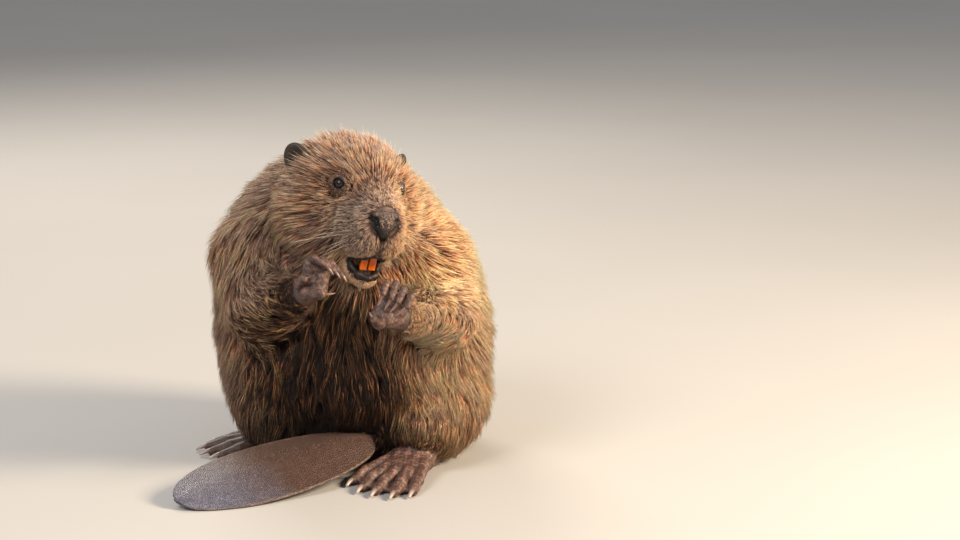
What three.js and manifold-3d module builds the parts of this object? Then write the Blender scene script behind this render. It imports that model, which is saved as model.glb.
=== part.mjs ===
// A life-size beaver, sitting up on its haunches with both forepaws raised to its open mouth and its
// flat tail tucked forward between the hind feet. Millimetres, +Z up. The animal faces -Y, and the
// origin is the middle of the flat under its rump, on the floor. Solids reach the tips of the coat.
//
// Each form is a field: a function of a point that is negative inside. Fields are blended, a surface
// is wrapped round them, and thin cuts part that surface into the named pieces.
import * as THREE from "three";
import { mergeVertices } from "three/addons/utils/BufferGeometryUtils.js";
import Module from "manifold-3d";

const wasm = await Module();
wasm.setup();

// ----------------------------------------------------------------------------
// Driving dimensions
// ----------------------------------------------------------------------------
const GAP = 0.35; // between neighbouring pieces
const DEG = Math.PI / 180;

// How far each form melts into the next.
const BLEND = { trunk: 40, limb: 26, head: 20, muzzle: 9, rim: 4, paw: 4, foot: 5, tail: 10 };

// The grid that each surface is wrapped on, and the most that its facets then stray from it.
const GRID = { trunk: 15, limb: 9, cut: 13, head: 5.2, jaw: 5, ear: 3, paw: 2.9, foot: 3.6 };
const SLACK = { trunk: 2.1, limb: 1.7, cut: 6, head: 1.65, jaw: 1.4, ear: 0.6, paw: 1, foot: 1.35 };

// The middle of the flat under the rump, which becomes the origin.
const SEAT = [52, 56];

const HEAD = { at: [4, -84, 329], yaw: 24, pitch: 2, roll: 9.5 };

// Forms of the head, in its own axes: x forward, y to the animal's left, z up.
const CRANIUM = { at: [-16, 0, 20], size: [72, 66, 53] };
const BRIDGE = { from: [26, 0, 24], to: [80, 0, 4], r: [41, 26] };
const CHEEK = { at: [-8, 38, -16], size: [54, 40, 50] };
const MUZZLE = { at: [70, 0, -13], size: [40, 35, 32] };
const LIP_PAD = { at: [82, 15, -28], size: [24, 20, 21] };
const LIP = { from: [62, 20, -31], to: [16, 38, -38], r: [17, 24] };
const JAW = [
  { at: [0, 0, -46], r: 42 },
  { at: [50, 0, -64], r: 24 },
  { at: [70, 0, -71], r: 16.5 },
];
const MOUTH = { at: [80, -1, -61], size: [26, 19, 13] };
const NOSE = { at: [96, 0, -2], size: [17, 18, 17] };
const NOSE_PAD = { at: [114, 0, -3], size: [19, 20, 19] };
const EYE = { at: [47, 38.5, 29], r: 6.6 };
const EAR = { at: [-32, 63, 38], size: [6, 16, 22.5], lean: 24, turn: 34, tip: -7 };
const EAR_HOLLOW = { at: [8.5, 0, 3], size: [8, 12, 18] };
const EAR_STALK = { from: [-3, 0, -12], to: [-6, 0, -24], r: [7, 9] };
const INCISOR = { at: [78, -1.5, -46], width: 9.6, gap: 0.8, length: 19, thick: 5, bend: 26, slope: 84 };

// The head and then the neck end on planes from the nape to the throat.
const NAPE = [-62, 0, 70];
const THROAT = [24, 0, -92];
const NECK_LENGTH = 46;
const CHIN = [0, 0, -92]; // which the head and the neck stay above
const HEAD_ROOM = [150, 112, 150];

// Forms of the body.
const TRUNK = [
  { at: [-1, 20, 152], size: [170, 146, 134] }, // belly
  { at: [-8, 4, 228], size: [152, 124, 104] }, // chest
  { at: [-20, 12, 294], size: [117, 96, 69] }, // shoulders
  { at: [8, 72, 176], size: [132, 98, 130] }, // back
  { at: [30, 72, 84], size: [112, 98, 88] }, // rump
];
const NECK = { from: [-20, 0, 0], to: [-14, 10, 290], r: [74, 94] };
const THIGH = {
  left: { at: [98, -22, 78], size: [88, 62, 82], yaw: -32 },
  right: { at: [-76, 0, 86], size: [82, 72, 88], yaw: -60 },
};
const SHIN = {
  left: { from: [98, -44, 74], to: [88, -84, 50], r: [42, 28] },
  right: { from: [-62, 8, 70], to: [-72, 26, 48], r: [42, 29] },
};
const SHOULDER = { left: [84, -36, 250], right: [-112, -30, 254] };
const ELBOW = { left: [114, -92, 196], right: [-106, -88, 202] };
const WRIST = { left: [70, -154, 203], right: [-50, -158, 234] };
const FORELEG = { upper: [57, 38], lower: [34, 19], room: [56, 46, 26] };

// The forepaws close round an empty grip, a straight line that both share. A place round it is told by
// how far along it is, an angle that is 0 behind the grip and 90 above it, and how far out it is. A
// finger is told by how far along its base, its knuckle, its end and the tip of its claw are.
const GRIP = { at: [-25.5, -190, 264.5], along: [0.88, 0, -0.475] };
const PAW = {
  left: {
    palm: { at: [88, -38, 23], r: 13, width: 8 },
    fingers: [
      { base: 80, knuckle: 70, high: 24, end: 71, claw: 72 },
      { base: 86, knuckle: 79.5, high: 30, end: 81.5, claw: 81 },
      { base: 92, knuckle: 90, high: 29, end: 91, claw: 88 },
      { base: 98, knuckle: 101, high: 25, end: 102.5, claw: 96 },
    ],
    end: [134, 15.5],
    claw: [176, 10.5],
    lower: [{ from: [84, -70, 22], to: [76, -100, 17], r: [8, 5], claw: [68, -118, 13] }],
  },
  right: {
    palm: { at: [1, -60, 27], r: 13.5, width: 7 },
    fingers: [
      { base: -16, knuckle: -15, high: 13, end: 1, claw: 11 },
      { base: -9, knuckle: -7, high: 15, end: 9, claw: 19 },
      { base: -2, knuckle: 2, high: 17, end: 16, claw: 25 },
    ],
    end: [112, 13.5],
    claw: [132, 10.5],
    lower: [
      { from: [-6, -92, 27], to: [9, -124, 20], r: [9, 6.5], claw: [22, -138, 14] },
      { from: [-18, -64, 26], to: [-16, -90, 13], r: [7, 5], claw: [-13, -112, 10] },
    ],
  },
};
const FINGER = { base: [20, 20], knuckle: 84, r: [7, 5.2, 4] };
const RIM = { angle: 0, r: 8 }; // of the palm, where the fingers grow
const CLAW = { paw: { r: 2.1, bend: 34 }, foot: { r: 3.3, bend: 22 } };

// A toe is told by how far forward and inward of the heel its tip is, and how far forward its knuckle.
const HEEL = { left: [98, -40, 0], right: [-28, 36, 0] };
const FOOT_YAW = { left: -20, right: -76 };
const FOOT = [
  { from: [16, 0, 14], to: [58, 2, 21], r: [17, 18] }, // sole
  { from: [44, 0, 26], to: [38, 0, 52], r: [21, 23] }, // ankle
  { from: [56, -8, 18], to: [66, 16, 18], r: [15, 15] }, // ball
];
const TOE_RADII = [11, 8.5, 6.8, 5.6];
const WEB = { root: [60, 4, 9], inside: 26, height: 4, r: 3 };
const TOES = [
  { tip: [138, 56], knuckle: 84 },
  { tip: [160, 34], knuckle: 92 },
  { tip: [168, 13], knuckle: 94 },
  { tip: [169, -11], knuckle: 90 },
  { tip: [156, -30], knuckle: 80 },
];

// The tail blade: half its length and width, how narrow its root is, its thickness and its middle ridge.
const TAIL = { at: [-84, -158, 24], yaw: -56, pitch: 6.5, roll: 20, size: [135, 53] };
const PADDLE = { power: 2.1, neck: 0.9 };
const TAIL_THICK = { root: 17, tip: 4, rim: 0.3, ridge: 3.5, ridgeWidth: 0.3 };
const TAIL_ROOT = [
  { at: [84, 84, 34], r: 36 },
  { at: [62, 10, 30], r: 31 },
  { at: [22, -74, 28], r: 19 },
];

const FUR_BROWN = { color: 0x6b4a33, roughness: 0.9, metalness: 0 };
const DARK_SKIN = { color: 0x3b302c, roughness: 0.65, metalness: 0 };
const HORN_BROWN = { color: 0x9a7468, roughness: 0.4, metalness: 0 };
const EYE_BLACK = { color: 0x0b0a0c, roughness: 0.08, metalness: 0 };
const ENAMEL = { color: 0xd9620f, roughness: 0.35, metalness: 0 };

// ----------------------------------------------------------------------------
// Frames and fields
// ----------------------------------------------------------------------------
const vec = (p) => new THREE.Vector3(...p);

// A matrix that sends x forward, y to the animal's left and z up. Yaw 0 faces -Y, and a positive yaw
// turns the animal to its own left; roll lowers the left side.
function frame(at, yaw, pitch = 0, roll = 0) {
  const turn = new THREE.Matrix4().makeRotationZ((yaw - 90) * DEG);
  const nod = new THREE.Matrix4().makeRotationY(pitch * DEG);
  const tilt = new THREE.Matrix4().makeRotationX(-roll * DEG);
  return turn.multiply(nod).multiply(tilt).setPosition(...at);
}

const place = (matrix, p) => vec(p).applyMatrix4(matrix).toArray();
const side = (name) => (name === "left" ? 1 : -1);
const mirrored = ([x, y, z], name) => [x, y * side(name), z];

// An ellipsoid, or with a power above 2 a rounder-cornered one, in the axes of a matrix.
function blob(matrix, centre, size, power = 2) {
  const inverse = matrix.clone().invert();
  const q = new THREE.Vector3();
  const least = Math.min(...size);
  return (x, y, z) => {
    q.set(x, y, z).applyMatrix4(inverse);
    const a = Math.abs((q.x - centre[0]) / size[0]);
    const b = Math.abs((q.y - centre[1]) / size[1]);
    const c = Math.abs((q.z - centre[2]) / size[2]);
    const flat = Math.pow(Math.pow(a, power) + Math.pow(b, power), 2 / power);
    const k = Math.sqrt(flat + c * c);
    const steep = Math.hypot(a / size[0], b / size[1], c / size[2]);
    return steep < 1e-9 ? -least : (k * (k - 1)) / steep;
  };
}

// A bone: a round limb between two points that tapers from one radius to the other.
function bone(from, to, r0, r1) {
  const a = vec(from);
  const ab = vec(to).sub(a);
  const length2 = ab.lengthSq();
  const p = new THREE.Vector3();
  return (x, y, z) => {
    p.set(x, y, z).sub(a);
    const t = Math.min(1, Math.max(0, p.dot(ab) / length2));
    return Math.hypot(p.x - ab.x * t, p.y - ab.y * t, p.z - ab.z * t) - (r0 + (r1 - r0) * t);
  };
}

// A web: a sheet over a triangle, with round edges of a radius.
function web(corners, r) {
  const [a, b, c] = corners.map(vec);
  const flat = new THREE.Triangle(a, b, c);
  const p = new THREE.Vector3();
  const nearest = new THREE.Vector3();
  return (x, y, z) => p.set(x, y, z).distanceTo(flat.closestPointToPoint(p, nearest)) - r;
}

// Bones end to end, through points that each carry a radius.
function chain(points, k) {
  const bones = points.slice(1).map((p, i) => bone(points[i].at, p.at, points[i].r, p.r));
  return blended(k, ...bones);
}

// The smooth union of fields: nearby forms melt together over k millimetres.
function blended(k, ...fields) {
  return (x, y, z) =>
    fields.reduce((d, field) => {
      const e = field(x, y, z);
      const h = Math.max(k - Math.abs(d - e), 0) / k;
      return Math.min(d, e) - (h * h * k) / 4;
    }, 1e3);
}

// A form with a hollow in it, whose rim is rounded over k millimetres.
function hollowed(k, form, hollow) {
  return (x, y, z) => {
    const d = form(x, y, z);
    const e = -hollow(x, y, z);
    const h = Math.max(k - Math.abs(d - e), 0) / k;
    return Math.max(d, e) + (h * h * k) / 4;
  };
}

// ----------------------------------------------------------------------------
// Surfaces and solids
// ----------------------------------------------------------------------------
function gradient(field, x, y, z, h) {
  return new THREE.Vector3(
    field(x + h, y, z) - field(x - h, y, z),
    field(x, y + h, z) - field(x, y - h, z),
    field(x, y, z + h) - field(x, y, z - h),
  ).divideScalar(2 * h);
}

// A square of the grid with two opposite corners inside would let two sheets share an edge, so one of
// its other corners, the one nearer the surface, is taken inside too.
const AXES = [
  [1, 0, 0],
  [0, 1, 0],
  [0, 0, 1],
];
const BARELY_INSIDE = -1e-3;
function fillSaddles(values, n, index) {
  for (let filled = 1; filled > 0; ) {
    filled = 0;
    for (let k = 0; k < n[2] - 1; k++)
      for (let j = 0; j < n[1] - 1; j++)
        for (let i = 0; i < n[0] - 1; i++)
          AXES.forEach((axis, d) => {
            const u = AXES[(d + 1) % 3];
            const square = [
              index(i, j, k),
              index(i + axis[0], j + axis[1], k + axis[2]),
              index(i + axis[0] + u[0], j + axis[1] + u[1], k + axis[2] + u[2]),
              index(i + u[0], j + u[1], k + u[2]),
            ];
            const [a, b, c, e] = square.map((corner) => values[corner] < 0);
            if (a !== c || b !== e || a === b) return;
            const outside = square.filter((corner) => values[corner] >= 0);
            outside.sort((p, q) => values[p] - values[q]);
            values[outside[0]] = BARELY_INSIDE;
            filled++;
          });
  }
}

// Wraps a field in a closed surface of four-sided cells: one vertex in each grid cell that the surface
// crosses, and one quad round each grid edge that it crosses. Each vertex is drawn onto the surface.
function wrap(field, low, high, cell) {
  const n = low.map((v, i) => Math.ceil((high[i] - v) / cell) + 1);
  const index = (i, j, k) => i + n[0] * (j + n[1] * k);
  const at = (i, j, k) => [low[0] + i * cell, low[1] + j * cell, low[2] + k * cell];
  const values = new Float64Array(n[0] * n[1] * n[2]);
  for (let k = 0; k < n[2]; k++)
    for (let j = 0; j < n[1]; j++)
      for (let i = 0; i < n[0]; i++) values[index(i, j, k)] = field(...at(i, j, k));
  fillSaddles(values, n, index);

  const corners = [...Array(8).keys()].map((c) => [c & 1, (c >> 1) & 1, c >> 2]);
  const edges = [];
  for (let a = 0; a < 8; a++) for (const bit of [1, 2, 4]) if (!(a & bit)) edges.push([a, a | bit]);
  const vertexOf = new Map();
  const points = [];
  for (let k = 0; k < n[2] - 1; k++)
    for (let j = 0; j < n[1] - 1; j++)
      for (let i = 0; i < n[0] - 1; i++) {
        const v = corners.map(([a, b, c]) => values[index(i + a, j + b, k + c)]);
        const middle = new THREE.Vector3();
        let crossings = 0;
        for (const [a, b] of edges) {
          if (v[a] < 0 === v[b] < 0) continue;
          const t = v[a] / (v[a] - v[b]);
          const from = vec(corners[a]);
          middle.add(from.lerp(vec(corners[b]), t));
          crossings++;
        }
        if (!crossings) continue;
        middle.divideScalar(crossings).multiplyScalar(cell).add(vec(at(i, j, k)));
        for (let pass = 0; pass < 3; pass++) settle(field, middle, cell / 3);
        vertexOf.set(index(i, j, k), points.length);
        points.push(middle);
      }

  const faces = [];
  for (let k = 1; k < n[2] - 1; k++)
    for (let j = 1; j < n[1] - 1; j++)
      for (let i = 1; i < n[0] - 1; i++)
        AXES.forEach((axis, d) => {
          const here = values[index(i, j, k)] < 0;
          const there = values[index(i + axis[0], j + axis[1], k + axis[2])] < 0;
          if (here === there) return;
          const u = AXES[(d + 1) % 3];
          const w = AXES[(d + 2) % 3];
          const around = [
            [0, 0],
            [1, 0],
            [1, 1],
            [0, 1],
          ].map(([a, b]) =>
            vertexOf.get(index(i - a * u[0] - b * w[0], j - a * u[1] - b * w[1], k - a * u[2] - b * w[2])),
          );
          const [a, b, c, e] = here ? around : around.reverse();
          faces.push([a, b, c], [a, c, e]);
        });
  return { points, faces };
}

// A quadric holds many planes and their number. It gives a point's mean squared distance from them.
const QUADRIC_TERMS = 11;
function addPlane(quadric, normal, point) {
  const plane = [normal.x, normal.y, normal.z, -normal.dot(point)];
  let n = 0;
  for (let i = 0; i < 4; i++)
    for (let j = i; j < 4; j++) quadric[n++] += plane[i] * plane[j] * (i === j ? 1 : 2);
  quadric[n]++;
}

function spread2(quadric, { x, y, z }) {
  const p = [x, y, z, 1];
  let n = 0;
  let sum = 0;
  for (let i = 0; i < 4; i++) for (let j = i; j < 4; j++) sum += quadric[n++] * p[i] * p[j];
  return sum / quadric[n];
}

// Draws a point onto the surface of a field.
function settle(field, point, most) {
  const g = gradient(field, point.x, point.y, point.z, 0.2);
  const step = field(point.x, point.y, point.z) / Math.max(g.lengthSq(), 0.25);
  return point.addScaledVector(g, -THREE.MathUtils.clamp(step, -most, most));
}

// Joins neighbouring vertices of a fine surface while its facets stray by less than a slack. That leaves
// long facets where it is flat and short ones where it bends. No facet may turn past the least cosine
// or become a sliver, whose doubled area is a small share of its longest side squared.
const LEAST_COSINE = 0.6;
const SLIVER = 0.16;
function thinned({ points, faces }, field, slack) {
  const facesOf = points.map(() => new Set());
  const quadrics = points.map(() => new Float64Array(QUADRIC_TERMS));
  const normalOf = (a, b, c) => b.clone().sub(a).cross(c.clone().sub(a));
  faces.forEach((face, f) => {
    const normal = normalOf(...face.map((v) => points[v])).normalize();
    for (const v of face) {
      facesOf[v].add(f);
      addPlane(quadrics[v], normal, points[face[0]]);
    }
  });
  const neighbours = (v) => new Set([...facesOf[v]].flatMap((f) => faces[f]).filter((w) => w !== v));

  // Joining an edge must also leave one closed sheet.
  const mayJoin = (a, b, to) => {
    const shared = neighbours(a);
    if ([...neighbours(b)].filter((v) => shared.has(v)).length !== 2) return false;
    for (const f of new Set([...facesOf[a], ...facesOf[b]])) {
      const face = faces[f];
      if (face.includes(a) && face.includes(b)) continue;
      const before = face.map((v) => points[v]);
      const after = face.map((v) => (v === a || v === b ? to : points[v]));
      const was = normalOf(...before);
      const is = normalOf(...after);
      const longest = Math.max(...after.map((p, i) => p.distanceToSquared(after[(i + 1) % 3])));
      if (was.dot(is) < LEAST_COSINE * was.length() * is.length()) return false;
      if (is.length() < SLIVER * longest) return false;
    }
    return true;
  };

  for (let joined = 1; joined > 0; ) {
    joined = 0;
    const edges = [];
    facesOf.forEach((own, a) => {
      if (!own.size) return;
      for (const b of neighbours(a)) {
        if (b < a) continue;
        const to = settle(field, points[a].clone().add(points[b]).multiplyScalar(0.5), slack * 2);
        const cost = spread2(quadrics[a].map((value, i) => value + quadrics[b][i]), to);
        if (cost < slack * slack) edges.push({ a, b, to, cost });
      }
    });
    edges.sort((p, q) => p.cost - q.cost);
    const busy = new Set();
    for (const { a, b, to } of edges) {
      if (busy.has(a) || busy.has(b) || !mayJoin(a, b, to)) continue;
      for (const v of [a, b, ...neighbours(a), ...neighbours(b)]) busy.add(v);
      points[a] = to;
      quadrics[b].forEach((value, i) => (quadrics[a][i] += value));
      for (const f of facesOf[b]) {
        if (faces[f].includes(a)) {
          for (const v of faces[f].filter((w) => w !== b)) facesOf[v].delete(f);
        } else {
          faces[f] = faces[f].map((v) => (v === b ? a : v));
          facesOf[a].add(f);
        }
      }
      facesOf[b] = new Set();
      joined++;
    }
  }
  const alive = new Set(facesOf.flatMap((own) => [...own]));
  return indexed(points, [...alive].map((f) => faces[f]));
}

function indexed(points, faces) {
  const order = new Map();
  for (const v of faces.flat()) if (!order.has(v)) order.set(v, order.size);
  const positions = [...order.keys()].flatMap((v) => points[v].toArray());
  const geometry = new THREE.BufferGeometry();
  geometry.setAttribute("position", new THREE.Float32BufferAttribute(positions, 3));
  return geometry.setIndex(faces.flat().map((v) => order.get(v)));
}

// A stock geometry with its seams closed, so that it bounds a solid.
function sealed(geometry) {
  const bare = new THREE.BufferGeometry();
  bare.setAttribute("position", geometry.getAttribute("position").clone());
  return mergeVertices(bare.setIndex(geometry.index), 1e-4);
}

// A closed geometry as a manifold-3d solid.
function solid(geometry) {
  return new wasm.Manifold(
    new wasm.Mesh({
      numProp: 3,
      vertProperties: new Float32Array(geometry.attributes.position.array),
      triVerts: new Uint32Array(geometry.index.array),
    }),
  );
}

// The same surface moved out until each facet clears its old place. A corner moves the way that suits
// its worst facet best, and at a sharp one no further than the most mitre times the distance.
const MOST_MITRE = 2.5;
function grown(geometry, by) {
  const out = geometry.clone();
  const { position } = out.attributes;
  const points = [];
  for (let i = 0; i < position.count; i++) points.push(new THREE.Vector3().fromBufferAttribute(position, i));
  const facets = points.map(() => []);
  for (let i = 0; i < out.index.count; i += 3) {
    const corners = [0, 1, 2].map((n) => out.index.getX(i + n));
    const normal = new THREE.Triangle(...corners.map((v) => points[v])).getNormal(new THREE.Vector3());
    for (const v of corners) facets[v].push(normal);
  }
  points.forEach((point, i) => {
    const way = new THREE.Vector3();
    for (const normal of facets[i]) way.add(normal);
    way.normalize();
    for (let pass = 0; pass < 12; pass++) {
      const worst = facets[i].reduce((a, b) => (b.dot(way) < a.dot(way) ? b : a));
      way.addScaledVector(worst, 0.2).normalize();
    }
    const least = Math.min(...facets[i].map((normal) => normal.dot(way)));
    point.addScaledVector(way, by / Math.max(least, 1 / MOST_MITRE));
    position.setXYZ(i, ...point);
  });
  return out;
}

// The solid of a geometry with the cutter that makes room for it in its neighbours.
const fitted = (geometry) => ({ body: solid(geometry), cutter: solid(grown(geometry, GAP)) });

const formed = (field, [low, high], grid, slack) =>
  fitted(thinned(wrap(field, low, high, grid), field, slack));

const boxAround = (points, margin) => {
  const box = new THREE.Box3().setFromPoints(points.map(vec)).expandByScalar(margin);
  return [box.min.toArray(), box.max.toArray()];
};

// A half-space: a large box on the side of a plane that its normal points to.
const HUGE = 1200;
function halfSpace(point, normal, back = 0) {
  const turn = new THREE.Quaternion().setFromUnitVectors(vec([0, 0, 1]), vec(normal).normalize());
  const box = sealed(new THREE.BoxGeometry(HUGE, HUGE, HUGE)).translate(0, 0, HUGE / 2 - back);
  return solid(box.applyQuaternion(turn).translate(...point));
}

const model = new THREE.Group();
const floor = halfSpace([0, 0, 0], [0, 0, 1]);
const taken = []; // the room of the pieces made so far

// Adds a piece, cut off at the floor and clear of every piece before it, without the slivers of a cut.
function give(name, made, look) {
  let body = made.body.intersect(floor);
  for (const cutter of taken) body = body.subtract(cutter);
  const largest = body.decompose().reduce((a, b) => (b.volume() > a.volume() ? b : a));
  const mesh = largest.getMesh();
  const geometry = new THREE.BufferGeometry();
  const positions = new Float32Array(mesh.numVert * 3);
  for (let i = 0; i < mesh.numVert; i++)
    positions.set(mesh.vertProperties.subarray(i * mesh.numProp, i * mesh.numProp + 3), i * 3);
  geometry.setAttribute("position", new THREE.BufferAttribute(positions, 3));
  geometry.setIndex(new THREE.BufferAttribute(mesh.triVerts, 1));
  geometry.computeVertexNormals();
  const piece = new THREE.Mesh(geometry, new THREE.MeshStandardMaterial(look));
  piece.name = name;
  model.add(piece);
  taken.push(made.cutter);
}

// ----------------------------------------------------------------------------
// Eyes, teeth and claws
// ----------------------------------------------------------------------------
const head = frame(HEAD.at, HEAD.yaw, HEAD.pitch, HEAD.roll);
const SIDES = ["left", "right"];

function eyes() {
  for (const name of SIDES) {
    const ball = sealed(new THREE.SphereGeometry(EYE.r, 12, 6)).translate(...mirrored(EYE.at, name));
    give(`eye_${name}`, fitted(ball.applyMatrix4(head)), EYE_BLACK);
  }
}

// A rod that tapers from its base to its tip and bends down as it goes, in a frame whose x runs along it.
function tapered(r0, r1, length, bend, sides, rings) {
  const geometry = sealed(new THREE.CylinderGeometry(r1, r0, length, sides, rings));
  geometry.translate(0, length / 2, 0).rotateZ(-Math.PI / 2);
  const position = geometry.attributes.position;
  const radius = length / (bend * DEG);
  for (let i = 0; i < position.count; i++) {
    const angle = position.getX(i) / radius;
    const out = radius + position.getY(i);
    position.setXYZ(i, out * Math.sin(angle), out * Math.cos(angle) - radius, position.getZ(i));
  }
  return geometry.rotateX(Math.PI / 2);
}

// An incisor is a flat-fronted chisel: a bent rod of four sides, squeezed front to back.
function incisors() {
  const { at, width, gap, length, thick, bend, slope } = INCISOR;
  for (const name of SIDES) {
    const half = width * Math.SQRT1_2;
    const tooth = tapered(half, half * 0.94, length, bend, 4, 5).rotateX(45 * DEG);
    tooth.scale(1, 1, thick / width).rotateY(slope * DEG);
    tooth.translate(at[0], at[1] + (side(name) * (width + gap)) / 2, at[2]);
    give(`incisor_${name}`, fitted(tooth.applyMatrix4(head)), ENAMEL);
  }
}

// A claw grows from base to tip and hooks towards down.
function claw(name, base, tip, down, { r, bend }) {
  const x = vec(tip).sub(vec(base));
  const length = x.length() * 1.06;
  x.normalize();
  const y = vec(down).negate().cross(x).normalize();
  const z = x.clone().cross(y);
  const matrix = new THREE.Matrix4().makeBasis(x, y, z).setPosition(...base);
  const horn = tapered(r, r * 0.2, length, bend, 5, 2).rotateY((-bend / 2) * DEG);
  give(name, fitted(horn.applyMatrix4(matrix)), HORN_BROWN);
}

// ----------------------------------------------------------------------------
// Forepaws
// ----------------------------------------------------------------------------
const gripAxis = vec(GRIP.along).normalize();
const gripBack = vec([0, 1, 0]).addScaledVector(gripAxis, -gripAxis.y).normalize();
const gripTop = gripAxis.clone().cross(gripBack);

// A point round the grip: how far along it, at which angle, and how far out.
function beside(along, angle, out) {
  return vec(GRIP.at)
    .addScaledVector(gripAxis, along)
    .addScaledVector(gripBack, out * Math.cos(angle * DEG))
    .addScaledVector(gripTop, out * Math.sin(angle * DEG))
    .toArray();
}

function forepaw(name) {
  const { palm, fingers, lower, end, claw: tip } = PAW[name];
  const [along, ...behind] = palm.at;
  const heel = beside(along, ...behind);
  const rim = [fingers[0], fingers.at(-1)].map(({ base }) => beside(base, RIM.angle, FINGER.base[1]));
  const fields = [
    bone(WRIST[name], heel, 12, palm.r),
    bone(beside(along - palm.width, ...behind), rim[0], palm.r * 0.75, RIM.r),
    bone(beside(along + palm.width, ...behind), rim[1], palm.r * 0.75, RIM.r),
    bone(...rim, RIM.r, RIM.r),
  ];
  const claws = fingers.map((finger) => {
    const joints = [
      { at: beside(finger.base, ...FINGER.base), r: FINGER.r[0] },
      { at: beside(finger.knuckle, FINGER.knuckle, finger.high), r: FINGER.r[1] },
      { at: beside(finger.end, ...end), r: FINGER.r[2] },
    ];
    fields.push(chain(joints, 1.5));
    return [joints[2].at, beside(finger.claw, ...tip)];
  });
  for (const { from, to, r, claw: point } of lower) {
    fields.push(bone(beside(...from), beside(...to), ...r));
    claws.push([beside(...to), beside(...point)]);
  }
  claws.forEach(([base, point], i) => {
    const toGrip = vec(GRIP.at).sub(vec(point));
    const down = toGrip.addScaledVector(gripAxis, -toGrip.dot(gripAxis)).toArray();
    claw(`claw_forepaw_${name}_${i + 1}`, base, point, down, CLAW.paw);
  });
  const room = boxAround([WRIST[name], heel, ...claws.flat()], 26);
  give(`forepaw_${name}`, formed(blended(BLEND.paw, ...fields), room, GRID.paw, SLACK.paw), DARK_SKIN);
}

// ----------------------------------------------------------------------------
// Hind feet
// ----------------------------------------------------------------------------
function hindFoot(name) {
  const foot = frame(HEEL[name], FOOT_YAW[name]);
  const spot = ([x, y, z]) => place(foot, [x, -y * side(name), z]);
  const fields = FOOT.map(({ from, to, r }) => bone(spot(from), spot(to), ...r));
  const webEnds = TOES.map(({ tip: [x, y] }) => spot([x - WEB.inside, y * 0.93, WEB.height]));
  webEnds.slice(1).forEach((end, i) => fields.push(web([spot(WEB.root), webEnds[i], end], WEB.r)));
  TOES.forEach(({ tip: [x, y], knuckle }, i) => {
    const joints = [
      [48, y * 0.2, 25],
      [knuckle, y * 0.56, 17],
      [x - 38, y * 0.86, 11],
      [x - 15, y * 0.97, 5],
    ];
    fields.push(chain(joints.map((p, n) => ({ at: spot(p), r: TOE_RADII[n] })), 3));
    const base = spot([x - 15, y * 0.97, 7]);
    claw(`claw_hind_foot_${name}_${i + 1}`, base, spot([x, y, 2.5]), [0, 0, -1], CLAW.foot);
  });
  const reach = TOES.map(({ tip }) => spot([...tip, 0]));
  const room = boxAround([spot([-4, 0, -4]), spot([40, 0, 78]), ...reach], 14);
  give(`hind_foot_${name}`, formed(blended(BLEND.foot, ...fields), room, GRID.foot, SLACK.foot), DARK_SKIN);
}

// ----------------------------------------------------------------------------
// Tail and ears
// ----------------------------------------------------------------------------
// A closed skin over rings of points, with a point at each end.
function lofted(rings, first, last) {
  const around = rings[0].length;
  const positions = [...rings.flat(), first, last].flat();
  const ends = [rings.length * around, rings.length * around + 1];
  const faces = [];
  for (let i = 0; i < around; i++) {
    const j = (i + 1) % around;
    faces.push(ends[0], j, i, ends[1], (rings.length - 1) * around + i, (rings.length - 1) * around + j);
    for (let n = 0; n < rings.length - 1; n++) {
      const [a, b] = [n * around + i, n * around + j];
      faces.push(a, b, a + around, b, b + around, a + around);
    }
  }
  const geometry = new THREE.BufferGeometry();
  geometry.setAttribute("position", new THREE.Float32BufferAttribute(positions, 3));
  return geometry.setIndex(faces);
}

const TAIL_RINGS = 13;
const TAIL_SIDES = 16;

function tailBlade() {
  const [length, width] = TAIL.size;
  const { root, tip, rim, ridge, ridgeWidth } = TAIL_THICK;
  const rings = [];
  for (let n = 1; n < TAIL_RINGS; n++) {
    const x = -Math.cos((Math.PI * n) / TAIL_RINGS);
    const paddle = THREE.MathUtils.lerp(PADDLE.neck, 1, THREE.MathUtils.smoothstep(x, -1, 1));
    const outline = paddle * Math.pow(1 - Math.pow(Math.abs(x), PADDLE.power), 1 / PADDLE.power);
    const thick = THREE.MathUtils.lerp(root, tip, (x + 1) / 2) * Math.pow(1 - x * x, 0.35);
    const ring = [];
    for (let i = 0; i < TAIL_SIDES; i++) {
      const angle = (2 * Math.PI * i) / TAIL_SIDES;
      const y = Math.cos(angle);
      const up = Math.sin(angle);
      const crest = ridge * Math.exp(-((y / ridgeWidth) ** 2)) * Math.sign(up) * outline;
      ring.push([x * length, y * width * outline, thick * up * (rim + (1 - rim) * up * up) + crest]);
    }
    rings.push(ring);
  }
  const blade = lofted(rings, [-length, 0, 0], [length, 0, 0]);
  blade.applyMatrix4(frame(TAIL.at, TAIL.yaw, TAIL.pitch, TAIL.roll));
  give("tail_blade", fitted(blade), DARK_SKIN);
}

// An ear is a small round shell, hollowed in front.
function ears() {
  for (const name of SIDES) {
    const pose = new THREE.Euler(-side(name) * EAR.lean * DEG, EAR.tip * DEG, side(name) * EAR.turn * DEG);
    const ear = head.clone().multiply(new THREE.Matrix4().makeTranslation(...mirrored(EAR.at, name)));
    ear.multiply(new THREE.Matrix4().makeRotationFromEuler(pose));
    const shell = blob(ear, [0, 0, 0], EAR.size);
    const hollow = blob(ear, EAR_HOLLOW.at, EAR_HOLLOW.size);
    const cup = hollowed(BLEND.rim, shell, hollow);
    const stalk = bone(place(ear, EAR_STALK.from), place(ear, EAR_STALK.to), ...EAR_STALK.r);
    const room = boxAround([place(ear, [0, 0, 0])], 42);
    give(`ear_${name}`, formed(blended(BLEND.paw, cup, stalk), room, GRID.ear, SLACK.ear), DARK_SKIN);
  }
}

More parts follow.
